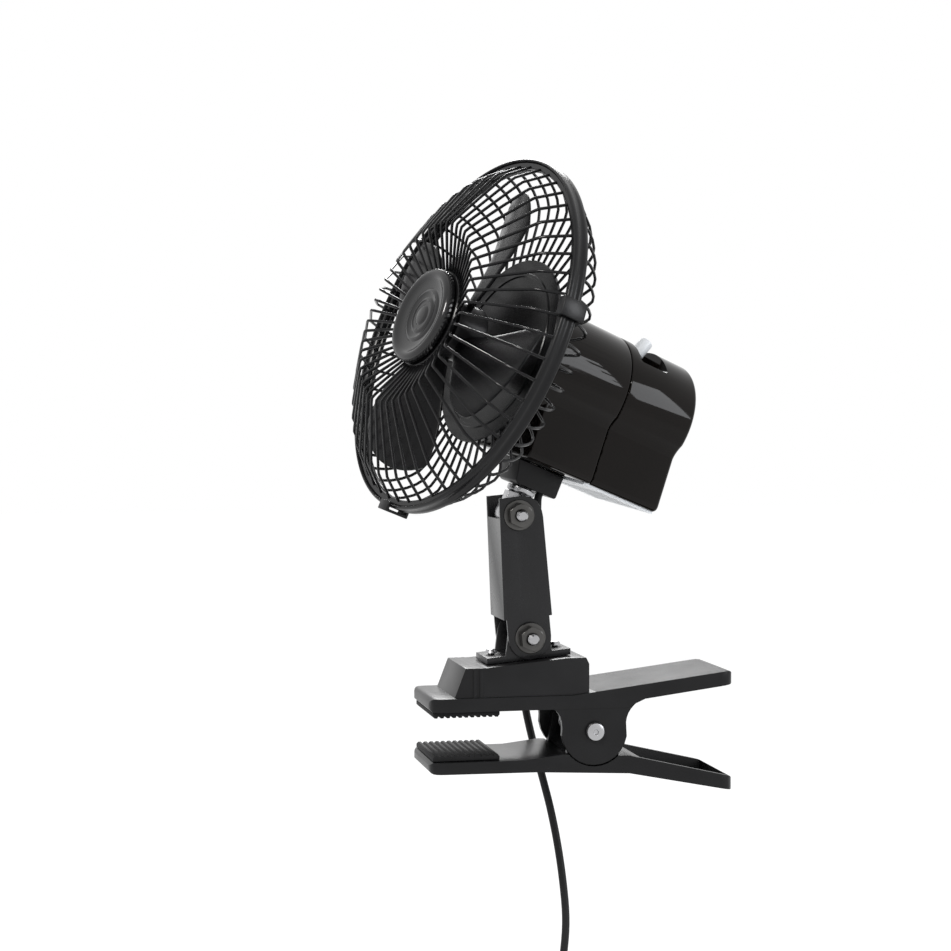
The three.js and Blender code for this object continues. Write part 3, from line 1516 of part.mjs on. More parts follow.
head.add(piece("front_bearing", bearing(FRONT_BRACKET), BRASS()));
head.add(piece("rear_bearing", bearing(REAR_BRACKET), BRASS()));
head.add(piece("front_bracket", endBracket(FRONT_BRACKET), ZINC()));
head.add(piece("rear_bracket", endBracket(REAR_BRACKET), ZINC()));
head.add(piece("wheel_post", wheelPost(), ZINC()));
head.add(piece("swing_knob", swingKnob(), PALE()));
head.add(piece("speed_switch", speedSwitch(), PALE()));

head.add(piece("fan_blade", fanBlade(), PLASTIC()));
head.add(piece("spinner_nut", spinnerNut(), STEEL()));
head.add(piece("motor_shaft", shaft(), STEEL()));
head.add(piece("rotor_core", rotorCore(), STEEL()));
head.add(piece("worm", worm(), BRASS()));
head.add(piece("worm_wheel", wormWheel(), PALE()));

export default fan;
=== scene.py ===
"""Finishes the clip fan: smooth guards, blade, housing, levers, cord and stage."""

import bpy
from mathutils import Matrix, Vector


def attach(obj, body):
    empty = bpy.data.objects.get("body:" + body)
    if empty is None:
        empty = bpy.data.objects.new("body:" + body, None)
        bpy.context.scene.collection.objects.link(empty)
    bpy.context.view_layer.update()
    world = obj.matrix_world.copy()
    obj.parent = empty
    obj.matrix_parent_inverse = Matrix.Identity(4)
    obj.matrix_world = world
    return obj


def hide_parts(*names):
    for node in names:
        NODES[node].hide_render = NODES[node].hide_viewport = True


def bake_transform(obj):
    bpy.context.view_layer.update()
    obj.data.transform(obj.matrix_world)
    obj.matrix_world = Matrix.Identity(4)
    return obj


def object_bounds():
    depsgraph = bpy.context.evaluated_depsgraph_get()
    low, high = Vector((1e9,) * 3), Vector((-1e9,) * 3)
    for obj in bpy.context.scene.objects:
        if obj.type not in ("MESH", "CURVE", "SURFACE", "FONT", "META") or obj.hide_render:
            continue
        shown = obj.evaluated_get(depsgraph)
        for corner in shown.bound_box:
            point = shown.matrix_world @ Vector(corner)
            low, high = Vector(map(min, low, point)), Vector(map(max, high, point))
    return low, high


bl_info = {
    "name": "Clip Fan Finish",
    "version": (1, 0, 0),
    "blender": (4, 5, 0),
    "location": "View3D > Sidebar > Clip Fan",
    "description": "Adds the finished pieces, materials and stage of a clip fan",
    "category": "Object",
}

from math import ceil, cos, pi, radians, sin, tan

import bmesh
import bpy
from mathutils import Matrix, Vector

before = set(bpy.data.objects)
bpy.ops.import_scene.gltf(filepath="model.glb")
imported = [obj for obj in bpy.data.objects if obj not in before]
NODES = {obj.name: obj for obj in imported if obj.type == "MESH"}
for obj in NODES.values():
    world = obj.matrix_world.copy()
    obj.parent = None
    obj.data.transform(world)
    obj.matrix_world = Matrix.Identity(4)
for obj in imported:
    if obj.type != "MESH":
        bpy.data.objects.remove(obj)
CAD_BOX = [list(corner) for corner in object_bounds()]

MM = 0.001

# The fan's places in millimetres: the arm's two bolts, the post that the head swings on,
# and the height of the fan's axis on that post.
LOWER_BOLT = Vector((32.8, 0, 36.7))
ARM_LENGTH = 59.9
ARM_LEAN = radians(-5.4)
HEAD_TILT = radians(22)
HEAD_SWING = radians(17)
HEAD_RISE = 70


def turn_y(angle):
    return Matrix.Rotation(angle, 4, "Y")


ARM = Matrix.Translation(LOWER_BOLT) @ turn_y(ARM_LEAN)
UPPER = ARM @ Matrix.Translation((0, 0, ARM_LENGTH))
STEM = UPPER @ turn_y(HEAD_TILT - ARM_LEAN)
HEAD = STEM @ Matrix.Translation((0, 0, HEAD_RISE)) @ Matrix.Rotation(HEAD_SWING, 4, "Z")
# Turned pieces round the fan's axis: their own Z points forwards.
FORWARD = HEAD @ turn_y(-pi / 2)
# Turned pieces across the clamp: their own Z points to +Y.
ACROSS = Matrix.Rotation(-pi / 2, 4, "X")

# Measured from the head's middle: forwards to the rim's middle, out to the shell's round
# top and down to its flat base.
RIM = 60.3
SHELL_R = 31
SHELL_BASE = -44
# The clamp's pin, on which the lower lever turns.
PIVOT = (62.7, 0, -8.2)


# ---- Sizes and colours ----


class ClipFanSizes(bpy.types.PropertyGroup):
    rib_count: bpy.props.IntProperty(
        name="Ribs", description="Ribs in each guard", default=52, min=24, max=90
    )
    rib_thickness: bpy.props.FloatProperty(
        name="Rib thickness",
        description="Thickness of a guard's rib",
        default=0.0013,
        unit="LENGTH",
    )
    blade_count: bpy.props.IntProperty(
        name="Blades", description="Blades on the fan's hub", default=4, min=3, max=6
    )
    blade_radius: bpy.props.FloatProperty(
        name="Blade radius",
        description="From the fan's axis to a blade's tip",
        default=0.073,
        unit="LENGTH",
    )
    cord_diameter: bpy.props.FloatProperty(
        name="Cord diameter",
        description="Thickness of the cord and the leads",
        default=0.004,
        unit="LENGTH",
    )
    edge_rounding: bpy.props.FloatProperty(
        name="Edge rounding",
        description="Radius on the edges of the arm's channel",
        default=0.0006,
        unit="LENGTH",
    )


class ClipFanColours(bpy.types.PropertyGroup):
    plastic: bpy.props.FloatVectorProperty(
        name="Plastic",
        description="Moulded clamp, rim and fan",
        subtype="COLOR",
        size=3,
        default=(0.0055, 0.0055, 0.006),
    )
    gloss: bpy.props.FloatVectorProperty(
        name="Gloss housing",
        description="The motor's housing",
        subtype="COLOR",
        size=3,
        default=(0.0042, 0.0031, 0.0025),
    )
    paint: bpy.props.FloatVectorProperty(
        name="Arm paint",
        description="Paint on the arm and bracket",
        subtype="COLOR",
        size=3,
        default=(0.008, 0.008, 0.0088),
    )
    rubber: bpy.props.FloatVectorProperty(
        name="Rubber",
        description="Pads and cord",
        subtype="COLOR",
        size=3,
        default=(0.009, 0.009, 0.0095),
    )
    zinc: bpy.props.FloatVectorProperty(
        name="Zinc",
        description="Bolts, pin and stem",
        subtype="COLOR",
        size=3,
        default=(0.4, 0.4, 0.41),
    )
    pale: bpy.props.FloatVectorProperty(
        name="Pale plastic",
        description="Knob and plate under the head",
        subtype="COLOR",
        size=3,
        default=(0.66, 0.68, 0.7),
    )


def sizes():
    return bpy.context.scene.clip_fan_sizes


def colours():
    return bpy.context.scene.clip_fan_colours


# ---- Materials ----


# Scale of the slow changes of tone, where they start and end, and the depth of the relief.
TONE_SCALE = 38
TONE_RANGE = (0.3, 0.7)
RELIEF_DEPTH = 0.0004


def finish(
    name,
    colour,
    rough,
    metal=0.0,
    grain=900.0,
    relief=0.05,
    vary=0.25,
    shine=0.5,
    stretch=(1, 1, 1),
):
    """A procedural finish with slight changes of tone and gloss and a fine relief."""
    known = bpy.data.materials.get(name)
    if known:
        return known
    material = bpy.data.materials.new(name)
    material.use_nodes = True
    nodes, links = material.node_tree.nodes, material.node_tree.links
    shader = nodes["Principled BSDF"]
    shader.inputs["Metallic"].default_value = metal
    shader.inputs["Specular IOR Level"].default_value = shine
    place = nodes.new("ShaderNodeTexCoord")
    mapping = nodes.new("ShaderNodeMapping")
    mapping.inputs["Scale"].default_value = stretch
    links.new(place.outputs["Object"], mapping.inputs["Vector"])
    broad = nodes.new("ShaderNodeTexNoise")
    broad.inputs["Scale"].default_value = TONE_SCALE
    broad.inputs["Detail"].default_value = 5
    links.new(mapping.outputs["Vector"], broad.inputs["Vector"])
    ramp = nodes.new("ShaderNodeValToRGB")
    dark = [c * (1 - vary) for c in colour]
    light = [min(c * (1 + vary), 1) for c in colour]
    for stop, position, tone in zip(ramp.color_ramp.elements, TONE_RANGE, (dark, light)):
        stop.position = position
        stop.color = (*tone, 1)
    links.new(broad.outputs["Fac"], ramp.inputs["Fac"])
    links.new(ramp.outputs["Color"], shader.inputs["Base Color"])
    gloss = nodes.new("ShaderNodeMapRange")
    gloss.inputs["To Min"].default_value = max(rough * 0.8, 0.02)
    gloss.inputs["To Max"].default_value = min(rough * 1.25, 1)
    links.new(broad.outputs["Fac"], gloss.inputs["Value"])
    links.new(gloss.outputs["Result"], shader.inputs["Roughness"])
    fine = nodes.new("ShaderNodeTexNoise")
    fine.inputs["Scale"].default_value = grain
    fine.inputs["Detail"].default_value = 3
    links.new(mapping.outputs["Vector"], fine.inputs["Vector"])
    bump = nodes.new("ShaderNodeBump")
    bump.inputs["Strength"].default_value = relief
    bump.inputs["Distance"].default_value = RELIEF_DEPTH
    links.new(fine.outputs["Fac"], bump.inputs["Height"])
    links.new(bump.outputs["Normal"], shader.inputs["Normal"])
    return material


def moulded_black():
    return finish("moulded_black", colours().plastic, 0.3, grain=1400, relief=0.08, shine=0.2)


def grip_black():
    return finish("grip_black", colours().plastic, 0.45, grain=1900, relief=0.5, shine=0.2)


def rib_gloss():
    return finish("rib_gloss", colours().plastic, 0.2, grain=700, relief=0.04, shine=0.2)


def badge_black():
    return finish("badge_black", colours().plastic, 0.14, grain=900, relief=0.03, shine=0.45)


def blade_black():
    return finish("blade_black", colours().plastic, 0.25, grain=500, relief=0.04, shine=0.14)


def housing_gloss():
    return finish(
        "housing_gloss", colours().gloss, 0.05, grain=60, relief=0.012, vary=0.15, shine=0.15
    )


def arm_paint():
    return finish("arm_paint", colours().paint, 0.26, grain=420, relief=0.08, shine=0.3)


def soft_rubber():
    return finish("soft_rubber", colours().rubber, 0.6, grain=2100, relief=0.2, shine=0.14)


def cord_rubber():
    return finish("cord_rubber", colours().rubber, 0.38, grain=1200, relief=0.08, shine=0.17)


def bright_zinc():
    return finish(
        "bright_zinc", colours().zinc, 0.26, metal=1.0, grain=650, relief=0.06, vary=0.1
    )


def dull_steel():
    tone = (0.36, 0.36, 0.37)
    return finish("dull_steel", tone, 0.34, metal=1.0, grain=500, relief=0.08, vary=0.18)


def dark_steel():
    tone = (0.09, 0.088, 0.085)
    return finish("dark_steel", tone, 0.3, metal=1.0, grain=500, relief=0.06)


def laminated_steel():
    """Steel with fine lines across, like a stack of sheets."""
    tone, lines = (0.3, 0.3, 0.31), (6, 1, 1)
    return finish(
        "laminated_steel", tone, 0.45, metal=1.0, grain=300, relief=0.3, stretch=lines
    )


def winding_copper():
    """Copper with fine lines across, like many turns of wire."""
    tone, lines = (0.52, 0.16, 0.05), (5, 1, 1)
    return finish(
        "winding_copper", tone, 0.35, metal=1.0, grain=420, relief=0.5, stretch=lines
    )


def turned_brass():
    tone = (0.55, 0.35, 0.12)
    return finish("turned_brass", tone, 0.33, metal=1.0, grain=600, relief=0.06)


def milky_plastic():
    return finish("milky_plastic", colours().pale, 0.32, grain=900, relief=0.05, vary=0.05)


# ---- Making pieces ----


def clear_selection():
    if bpy.context.object and bpy.context.object.mode != "OBJECT":
        bpy.ops.object.mode_set(mode="OBJECT")
    bpy.ops.object.select_all(action="DESELECT")


def pick(piece, *others):
    """Selects these pieces alone and makes the first one active."""
    clear_selection()
    for part in (piece, *others):
        part.select_set(True)
    bpy.context.view_layer.objects.active = piece


def joined(piece, *others):
    """Makes one piece of several, which keeps the first one's name."""
    pick(piece, *others)
    bpy.ops.object.join()
    return piece


def edit_mode():
    """Opens the active piece with all its points selected."""
    bpy.ops.object.mode_set(mode="EDIT")
    bpy.ops.mesh.select_mode(type="VERT")
    bpy.ops.mesh.select_all(action="SELECT")


def loop(name, points):
    """A closed loop of edges through the given points, in millimetres, left in edit mode."""
    clear_selection()
    bpy.ops.mesh.primitive_circle_add(vertices=len(points), radius=1, fill_type="NOTHING")
    piece = bpy.context.object
    piece.name = piece.data.name = name
    edit_mode()
    mesh = bmesh.from_edit_mesh(piece.data)
    mesh.verts.ensure_lookup_table()
    for vertex, point in zip(mesh.verts, points):
        vertex.co = Vector(point) * MM
    bmesh.update_edit_mesh(piece.data)
    return piece


def tidy_faces():
    """Merges points that coincide and turns all faces outwards."""
    bpy.ops.mesh.select_all(action="SELECT")
    bpy.ops.mesh.remove_doubles(threshold=1e-6)
    bpy.ops.mesh.normals_make_consistent(inside=False)


def placed(piece, place):
    """Puts a piece where it belongs and leaves its object at the origin."""
    bpy.ops.object.mode_set(mode="OBJECT")
    move = place.copy()
    move.translation = place.translation * MM
    piece.data.transform(move)
    piece.data.update()
    return piece


def rounded(piece, width, segments=3, angle=32):
    """Rounds the edges sharper than an angle, and shades the rest smoothly."""
    pick(piece)
    if width > 0:
        bevel = piece.modifiers.new("rounding", "BEVEL")
        bevel.width = width
        bevel.segments = segments
        bevel.limit_method = "ANGLE"
        bevel.angle_limit = radians(angle)
        bevel.use_clamp_overlap = True
        bpy.ops.object.modifier_apply(modifier=bevel.name)
    bpy.ops.object.shade_smooth_by_angle(angle=radians(angle))
    return piece


def dressed(piece, material, body, *nodes):
    """Gives a piece its finish and body, and lets it stand for the nodes."""
    piece.data.materials.clear()
    piece.data.materials.append(material)
    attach(piece, body)
    if nodes:
        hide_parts(*nodes)
    return piece


def spun(name, profile, place, steps=96, closed=False):
    """A profile of radius and height turned round the Z axis of its place."""
    piece = loop(name, [(r, 0, h) for r, h in profile])
    if not closed:
        mesh = bmesh.from_edit_mesh(piece.data)
        mesh.verts.ensure_lookup_table()
        ends = {mesh.verts[0], mesh.verts[-1]}
        spare = [edge for edge in mesh.edges if set(edge.verts) == ends]
        bmesh.ops.delete(mesh, geom=spare, context="EDGES")
        bmesh.update_edit_mesh(piece.data)
        bpy.ops.mesh.select_all(action="SELECT")
    bpy.ops.mesh.spin(steps=steps, angle=2 * pi, center=(0, 0, 0), axis=(0, 0, 1))
    tidy_faces()
    return placed(piece, place)


def ring(inner, outer, low, high, edge=0.3):
    """The rounded section of a ring, for spun."""
    return [
        (inner + edge, low),
        (outer - edge, low),
        (outer, low + edge),
        (outer, high - edge),
        (outer - edge, high),
        (inner + edge, high),
        (inner, high - edge),
        (inner, low + edge),
    ]


def slab(name, outline, place, low, high, lay):
    """An outline that lies in "XY" or "YZ", made thick from low to high."""
    flat = lay == "XY"
    piece = loop(name, [(a, b, low) if flat else (low, a, b) for a, b in outline])
    bpy.ops.mesh.edge_face_add()
    step = Vector((0, 0, 1) if flat else (1, 0, 0)) * (high - low) * MM
    bpy.ops.mesh.extrude_region_move(TRANSFORM_OT_translate={"value": step})
    tidy_faces()
    return placed(piece, place)


def combined(piece, other, how):
    """Joins another closed piece to this one, cuts it away or keeps what both share."""
    pick(piece)
    change = piece.modifiers.new("combine", "BOOLEAN")
    change.operation = how
    change.solver = "EXACT"
    change.object = other
    bpy.ops.object.modifier_apply(modifier=change.name)
    bpy.data.objects.remove(other)
    return piece


def dressed_copy(node, material, body, width, name=None, segments=2):
    """A node's own shape with merged faces and rounded edges."""
    piece = bpy.data.objects.new(name or "fine_" + node, NODES[node].data.copy())
    bpy.context.scene.collection.objects.link(piece)
    pick(piece)
    edit_mode()
    bpy.ops.mesh.remove_doubles(threshold=2e-6)
    bpy.ops.mesh.dissolve_limited(angle_limit=radians(1))
    bpy.ops.object.mode_set(mode="OBJECT")
    rounded(piece, width, segments)
    return dressed(piece, material, body, node)


def curve_tube(name, points, radius, material, radii=None):
    """A round wire or lead along a line, with a share of its radius for each point.

    The line is in millimetres and the radius in metres.
    """
    clear_selection()
    bpy.ops.curve.primitive_nurbs_path_add()
    piece = bpy.context.object
    piece.name = piece.data.name = name
    data = piece.data
    data.splines.clear()
    line = data.splines.new("POLY")
    line.points.add(len(points) - 1)
    for i, (spot, point) in enumerate(zip(line.points, points)):
        spot.co = (*(Vector(point) * MM), 1)
        spot.radius = radii[i] if radii else 1
    data.dimensions = "3D"
    data.bevel_depth = radius
    data.bevel_resolution = 4
    data.use_fill_caps = True
    data.twist_mode = "MINIMUM"
    data.materials.clear()
    data.materials.append(material)
    line.use_smooth = True
    return piece


def length_of(line):
    return sum((q - p).length for p, q in zip(line, line[1:]))


# The parts in which each stretch of a smooth line is measured.
SPLINE_PARTS = 24


def even_line(points, step):
    """A smooth line through the points, at an even step, in millimetres."""
    spots = [Vector(p) for p in points]
    padded = [2 * spots[0] - spots[1], *spots, 2 * spots[-1] - spots[-2]]
    dense = []
    for a, b, c, d in zip(padded, padded[1:], padded[2:], padded[3:]):
        for i in range(SPLINE_PARTS):
            t = i / SPLINE_PARTS
            square = (2 * a - 5 * b + 4 * c - d) * t * t
            cube = (3 * b - a - 3 * c + d) * t**3
            dense.append(0.5 * (2 * b + (c - a) * t + square + cube))
    dense.append(spots[-1])
    total = length_of(dense)
    count = max(int(total / step), 3)
    line, walked, target = [dense[0]], 0.0, total / count
    for p, q in zip(dense, dense[1:]):
        reach = (q - p).length
        while reach and walked + reach >= target - 1e-9 and len(line) < count:
            line.append(p.lerp(q, (target - walked) / reach))
            target += total / count
        walked += reach
    line.append(dense[-1])
    return line


def meshed(piece):
    """Turns a curve into a mesh with smooth sides."""
    pick(piece)
    bpy.ops.object.convert(target="MESH")
    piece = bpy.context.object
    edit_mode()
    tidy_faces()
    bpy.ops.object.mode_set(mode="OBJECT")
    return rounded(piece, 0, angle=60)


# ---- Cord, coil and leads ----

CORD_R = 2.0
CORD_STEP = 4
# The middle line of the hanging cord, from the clamp's far side down to the coil.
CORD_DROP = [
    (43.5, 34.6, 14.6),
    (43.5, 38.6, 14.6),
    (43.8, 46.6, 12.5),
    (44.8, 52.4, 6.6),
    (46.2, 54.6, -2),
    (47.8, 54, -12),
    (51, 50.8, -28),
    (54.7, 47.4, -44),
    (58.2, 44.3, -60),
    (61.2, 41.4, -78),
    (63.2, 38.6, -96),
    (64, 35.8, -113),
    (62.6, 33.2, -128),
]
# How far before the coil's first point the cord is led in straight.
COIL_APPROACH = (14.3, 4.8, 0)
# The wound length: its middle, smallest radius, layers along Y and turns in all.
COIL = Vector((74, 38, -180))
COIL_IN = 17.5
COIL_LAYERS = 4
COIL_ENTRY = radians(150)
COIL_TURNS = 9 + 30 / 360
COIL_STEPS = 40
COIL_PITCH = 4.7
# From the coil down to the plug, and the plug with its two pins.
FAR_LEAD = 22
PLUG_GAP = 0.3
PLUG_LENGTH = 42
PIN_INSIDE = 5.7
PIN_LENGTH = 19
PIN_SIDE = 9.5
# The ribbed sleeve on the cord's first stretch, with a shallow notch after every rib.
GLAND = (43.5, 0, 14.6)
SLEEVE_START = [(43.5, 23.5, 14.6), (43.5, 29, 14.6)]
SLEEVE_STEP = 0.5
SLEEVE_SPOTS = 50
SLEEVE_R = 4.0
SLEEVE_TAPER = 1.4
NOTCH_DEPTH = 0.5
NOTCH_RANGE = (3, 42)
# The lead held in the fan, in the frames of the stem, the arm and the clamp.
LEAD_STEP = 1.5
STEM_LEAD = [
    (10.04, 3.09, 17.5),
    (10.04, 3.09, 13.5),
    (10.3, 3.1, 11.4),
    (12.4, 3.5, 6),
    (14.5, 3.9, 0.5),
    (14.2, 4, -3.2),
]
ARM_LEAD = [(7, 6, 41), (7, 10.8, 32), (7, 10.8, 22), (6.8, 8.2, 13), (6, 6.4, 7)]
BASE_LEAD = [
    (40.2, 6.4, 34),
    (40.8, 7, 30),
    (40.8, 7, 25),
    (41.5, 9.5, 18.5),
    (43.2, 13.5, 15),
    (43.5, 17.6, 14.6),
]


def coil_spot(turn, straight=0.0):
    """The coil's middle line after so many turns, with a straight run past its end."""
    layer_turns = COIL_TURNS / COIL_LAYERS
    layer = turn / layer_turns
    fold = abs(layer - 2 * round(layer / 2))
    r = COIL_IN + COIL_PITCH * layer_turns * (1 - fold)
    climb = sum(
        min(max(2 * (turn - i * layer_turns) + 0.5, 0), 1) for i in range(1, COIL_LAYERS)
    )
    angle = COIL_ENTRY + 2 * pi * turn
    return Vector(
        (
            COIL.x + r * cos(angle) - straight * sin(angle),
            COIL.y + COIL_PITCH * (climb - (COIL_LAYERS - 1) / 2),
            COIL.z + r * sin(angle) + straight * cos(angle),
        )
    )


def cord_line():
    """The whole free cord: the drop, the coil and the lead to the plug."""
    start = coil_spot(0, -2 * CORD_R)
    way = (coil_spot(0) - start).normalized()
    approach = [start - way * back for back in COIL_APPROACH]
    drop = even_line([*CORD_DROP, *approach], CORD_STEP)
    steps = ceil(COIL_TURNS * COIL_STEPS)
    coil = [coil_spot(COIL_TURNS * i / steps) for i in range(steps + 1)]
    end = coil_spot(COIL_TURNS, 2 * CORD_R)
    tail = [end - Vector((0, 0, FAR_LEAD * i / 4)) for i in range(5)]
    return [*drop, *coil, *tail]


class CLIPFAN_OT_cord(bpy.types.Operator):
    """Make the free cord with its coil and plug, and the leads held in the fan"""

    bl_idname = "clipfan.cord"
    bl_label = "Cord and Leads"

    def execute(self, context):
        radius = sizes().cord_diameter / 2
        line = cord_line()
        cord = curve_tube("cord", line, radius, cord_rubber())
        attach(cord, "clamp")
        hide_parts("power_cord", "cord_coil", "far_lead")
        tie = dressed_copy("cord_tie", moulded_black(), "clamp", 0.0005, "tie")
        plug = dressed_copy("plug", cord_rubber(), "clamp", 0.0012, "moulded_plug", 3)
        pins = [self.pin(side) for side in (-1, 1)]
        self.gland()
        self.leads()
        return {"FINISHED"}

    def pin(self, side):
        """One of the plug's round pins, on the side of the sign."""
        end = coil_spot(COIL_TURNS, 2 * CORD_R)
        face = end.z - FAR_LEAD - PLUG_GAP - PLUG_LENGTH
        top, low = face + PIN_INSIDE, face - PIN_LENGTH
        name = "pin_left" if side < 0 else "pin_right"
        profile = [(0, low), (1.3, low), (1.75, low + 0.4), (2, low + 1.2), (2, top), (0, top)]
        place = Matrix.Translation((end.x + side * PIN_SIDE, end.y, 0))
        piece = rounded(spun(name, profile, place, 32), 0)
        return dressed(piece, bright_zinc(), "clamp", "plug_" + name)

    def gland(self):
        """A ribbed sleeve that tapers along the first stretch of the cord."""
        bore, neck, collar = 2.3, 3.6, 4.6
        foot, step, front = 17.9, 22.3, 23.9
        boss_profile = [
            (bore, foot),
            (neck, foot),
            (neck, step),
            (collar, step),
            (collar, front),
            (bore, front),
        ]
        place = Matrix.Translation(GLAND) @ ACROSS
        boss = rounded(spun("strain_relief", boss_profile, place, 40, closed=True), 0)
        line = even_line([*SLEEVE_START, *CORD_DROP[:4]], SLEEVE_STEP)[:SLEEVE_SPOTS]
        radii = []
        for i in range(len(line)):
            share = i / (len(line) - 1)
            notched = NOTCH_RANGE[0] < i < NOTCH_RANGE[1] and i % 4 in (0, 1)
            radii.append((SLEEVE_R - SLEEVE_TAPER * share) - (NOTCH_DEPTH if notched else 0))
        sleeve = meshed(curve_tube("sleeve", line, MM, cord_rubber(), radii))
        dressed(rounded(joined(boss, sleeve), 0), cord_rubber(), "clamp", "cord_gland")

    def leads(self):
        """The held lead in five stretches: three run between bodies and are left unattached,
        two ride with one.
        """
        upper = [STEM @ Vector(p) for p in STEM_LEAD]
        arm = [ARM @ Vector(p) for p in ARM_LEAD]
        base = [Vector(p) for p in BASE_LEAD]
        self.bent_lead("lead_swing", upper, ("head", "stem"), upper[1], upper[4], "lead_upper")
        tilt = [upper[-1], arm[0]]
        self.bent_lead("lead_tilt", tilt, ("stem", "arm"), *tilt)
        self.held_lead("lead_channel", arm, "arm", "lead_arm")
        bolt = [arm[-1], base[0]]
        self.bent_lead("lead_bolt", bolt, ("arm", "clamp"), *bolt)
        self.held_lead("lead_tower", base, "clamp", "lead_base")

    def lead(self, name, points):
        line = even_line(points, LEAD_STEP)
        tube = meshed(curve_tube(name, line, sizes().cord_diameter / 2, cord_rubber()))
        return tube

    def held_lead(self, name, points, body, node):
        tube = self.lead(name, points)
        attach(tube, body)
        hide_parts(node)

    def bent_lead(self, name, points, pair, start, end, node=None):
        tube = self.lead(name, points)
        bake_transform(tube)
        if node:
            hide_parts(node)


# ---- Guards and rim ----

# The ribs' middle lines, as radius and distance in front of the rim's middle.
FRONT_LINE = [
    (23.6, 20),
    (34, 24.5),
    (43.4, 28.5),
    (45.5, 29.1),
    (47.8, 28.2),
    (60, 21.9),
    (75, 14),
    (77, 12.8),
    (78.6, 10.9),
    (86.4, 1.5),
]
REAR_LINE = [
    (45.5, -21),
    (60, -21.2),
    (69, -21),
    (73.5, -20),
    (77.5, -17.4),
    (81, -13.8),
    (84, -9.4),
    (85.8, -5),
    (86.5, -1.5),
]
# The radii of the ring at both guards' outer edge, and the steps of all their rings.
FOOT_RING = (84.8, 88)
RING_STEPS = 156
# The rim's band: its radii and half its width.
BAND_IN = 88.1
BAND_OUT = 89.5
BAND_HALF = 4
# The badge's face in front of the rim's middle, and its turned section behind that face.
BADGE_FACE = 27
BADGE_LINE = [
    (0, -5),
    (22.6, -5),
    (23.4, -4.4),
    (23.6, -3.4),
    (23.4, -1.6),
    (22.6, -0.6),
    (21.2, 0),
    (19.8, -0.2),
    (18.8, -0.9),
    (17.6, -1.5),
    (15.6, -1.9),
    (13.6, -2.2),
    (12.9, -1.7),
    (11.9, -1.6),
    (11.2, -2.1),
    (9.4, -2.3),
    (8.7, -1.8),
    (7.7, -1.7),
    (7.0, -2.2),
    (5.2, -2.2),
    (4.4, -1.6),
    (3.4, -1.3),
    (0, -1.2),
]


def rib_outline(line, thickness):
    """Both sides of a rib that follows a line of radius and height."""
    sides = [[], []]
    for i, (r, k) in enumerate(line):
        before, after = line[max(i - 1, 0)], line[min(i + 1, len(line) - 1)]
        way = Vector((after[0] - before[0], after[1] - before[1])).normalized()
        sides[0].append((r - way.y * thickness / 2, k + way.x * thickness / 2))
        sides[1].insert(0, (r + way.y * thickness / 2, k - way.x * thickness / 2))
    return sides[0] + sides[1]


class CLIPFAN_OT_guards(bpy.types.Operator):
    """Make the ribs and rings of both guards, the rim and the badge"""

    bl_idname = "clipfan.guards"
    bl_label = "Guards"

    def execute(self, context):
        front_rings = [
            ring(17.6, 24.4, RIM + 18.8, RIM + 21.2, 0.5),
            ring(*FOOT_RING, RIM + 0.2, RIM + 2.8, 0.5),
        ]
        self.guard("guard_front", FRONT_LINE, front_rings, "front_guard")
        rear_rings = [
            ring(7.5, 47, RIM - 22.1, RIM - 19.9, 0.4),
            ring(38, 40, RIM - 22.1, RIM - 19.3, 0.4),
            ring(*FOOT_RING, RIM - 2.8, RIM - 0.2, 0.5),
        ]
        self.guard("guard_rear", REAR_LINE, rear_rings, "rear_guard")
        self.rim()
        self.clips()
        self.badge()
        return {"FINISHED"}

    def guard(self, name, line, rings, node):
        """One rib, rounded and repeated round the axis, with the rings that hold the ribs."""
        thickness = sizes().rib_thickness / MM
        outline = rib_outline(line, thickness)
        points = [(r, -thickness / 2, RIM + k) for r, k in outline]
        ribs = loop(name, points)
        bpy.ops.mesh.edge_face_add()
        bpy.ops.mesh.extrude_region_move(
            TRANSFORM_OT_translate={"value": (0, thickness * MM, 0)}
        )
        bpy.ops.mesh.select_all(action="SELECT")
        bpy.ops.mesh.normals_make_consistent(inside=False)
        bpy.ops.object.mode_set(mode="OBJECT")
        rounded(ribs, 0.35 * thickness * MM, 2, 40)
        edit_mode()
        count = sizes().rib_count
        bpy.ops.transform.rotate(value=pi / count, orient_axis="Z", center_override=(0, 0, 0))
        bpy.ops.mesh.spin(
            steps=count - 1,
            dupli=True,
            angle=2 * pi * (count - 1) / count,
            center=(0, 0, 0),
            axis=(0, 0, 1),
        )
        placed(ribs, FORWARD)
        hoops = [
            rounded(spun(name + "_ring", profile, FORWARD, RING_STEPS, closed=True), 0)
            for profile in rings
        ]
        rounded(joined(ribs, *hoops), 0, angle=45)
        dressed(ribs, rib_gloss(), "head", node)

    def rim(self):
        """The band round both guards, with a shallow groove where they meet."""
        half = [
            (BAND_OUT - 0.35, 1.0),
            (BAND_OUT, 1.4),
            (BAND_OUT, 3.3),
            (BAND_OUT - 0.7, BAND_HALF),
            (BAND_IN + 0.4, BAND_HALF),
            (BAND_IN, 3.6),
        ]
        profile = [(r, RIM - k) for r, k in reversed(half)] + [(r, RIM + k) for r, k in half]
        band = spun("rim", profile, FORWARD, 180, closed=True)
        dressed(rounded(band, 0, angle=50), moulded_black(), "head", "rim_band")

    def clips(self):
        for node in ("rim_clip_side", "rim_clip_bottom"):
            dressed_copy(node, moulded_black(), "head", 0.0004)

    def badge(self):
        """A plain disc with turned rings."""
        profile = [(r, RIM + BADGE_FACE + k) for r, k in BADGE_LINE]
        disc = spun("badge_disc", profile, FORWARD, 120)
        dressed(rounded(disc, 0, angle=35), badge_black(), "head", "badge")


# ---- Head ----

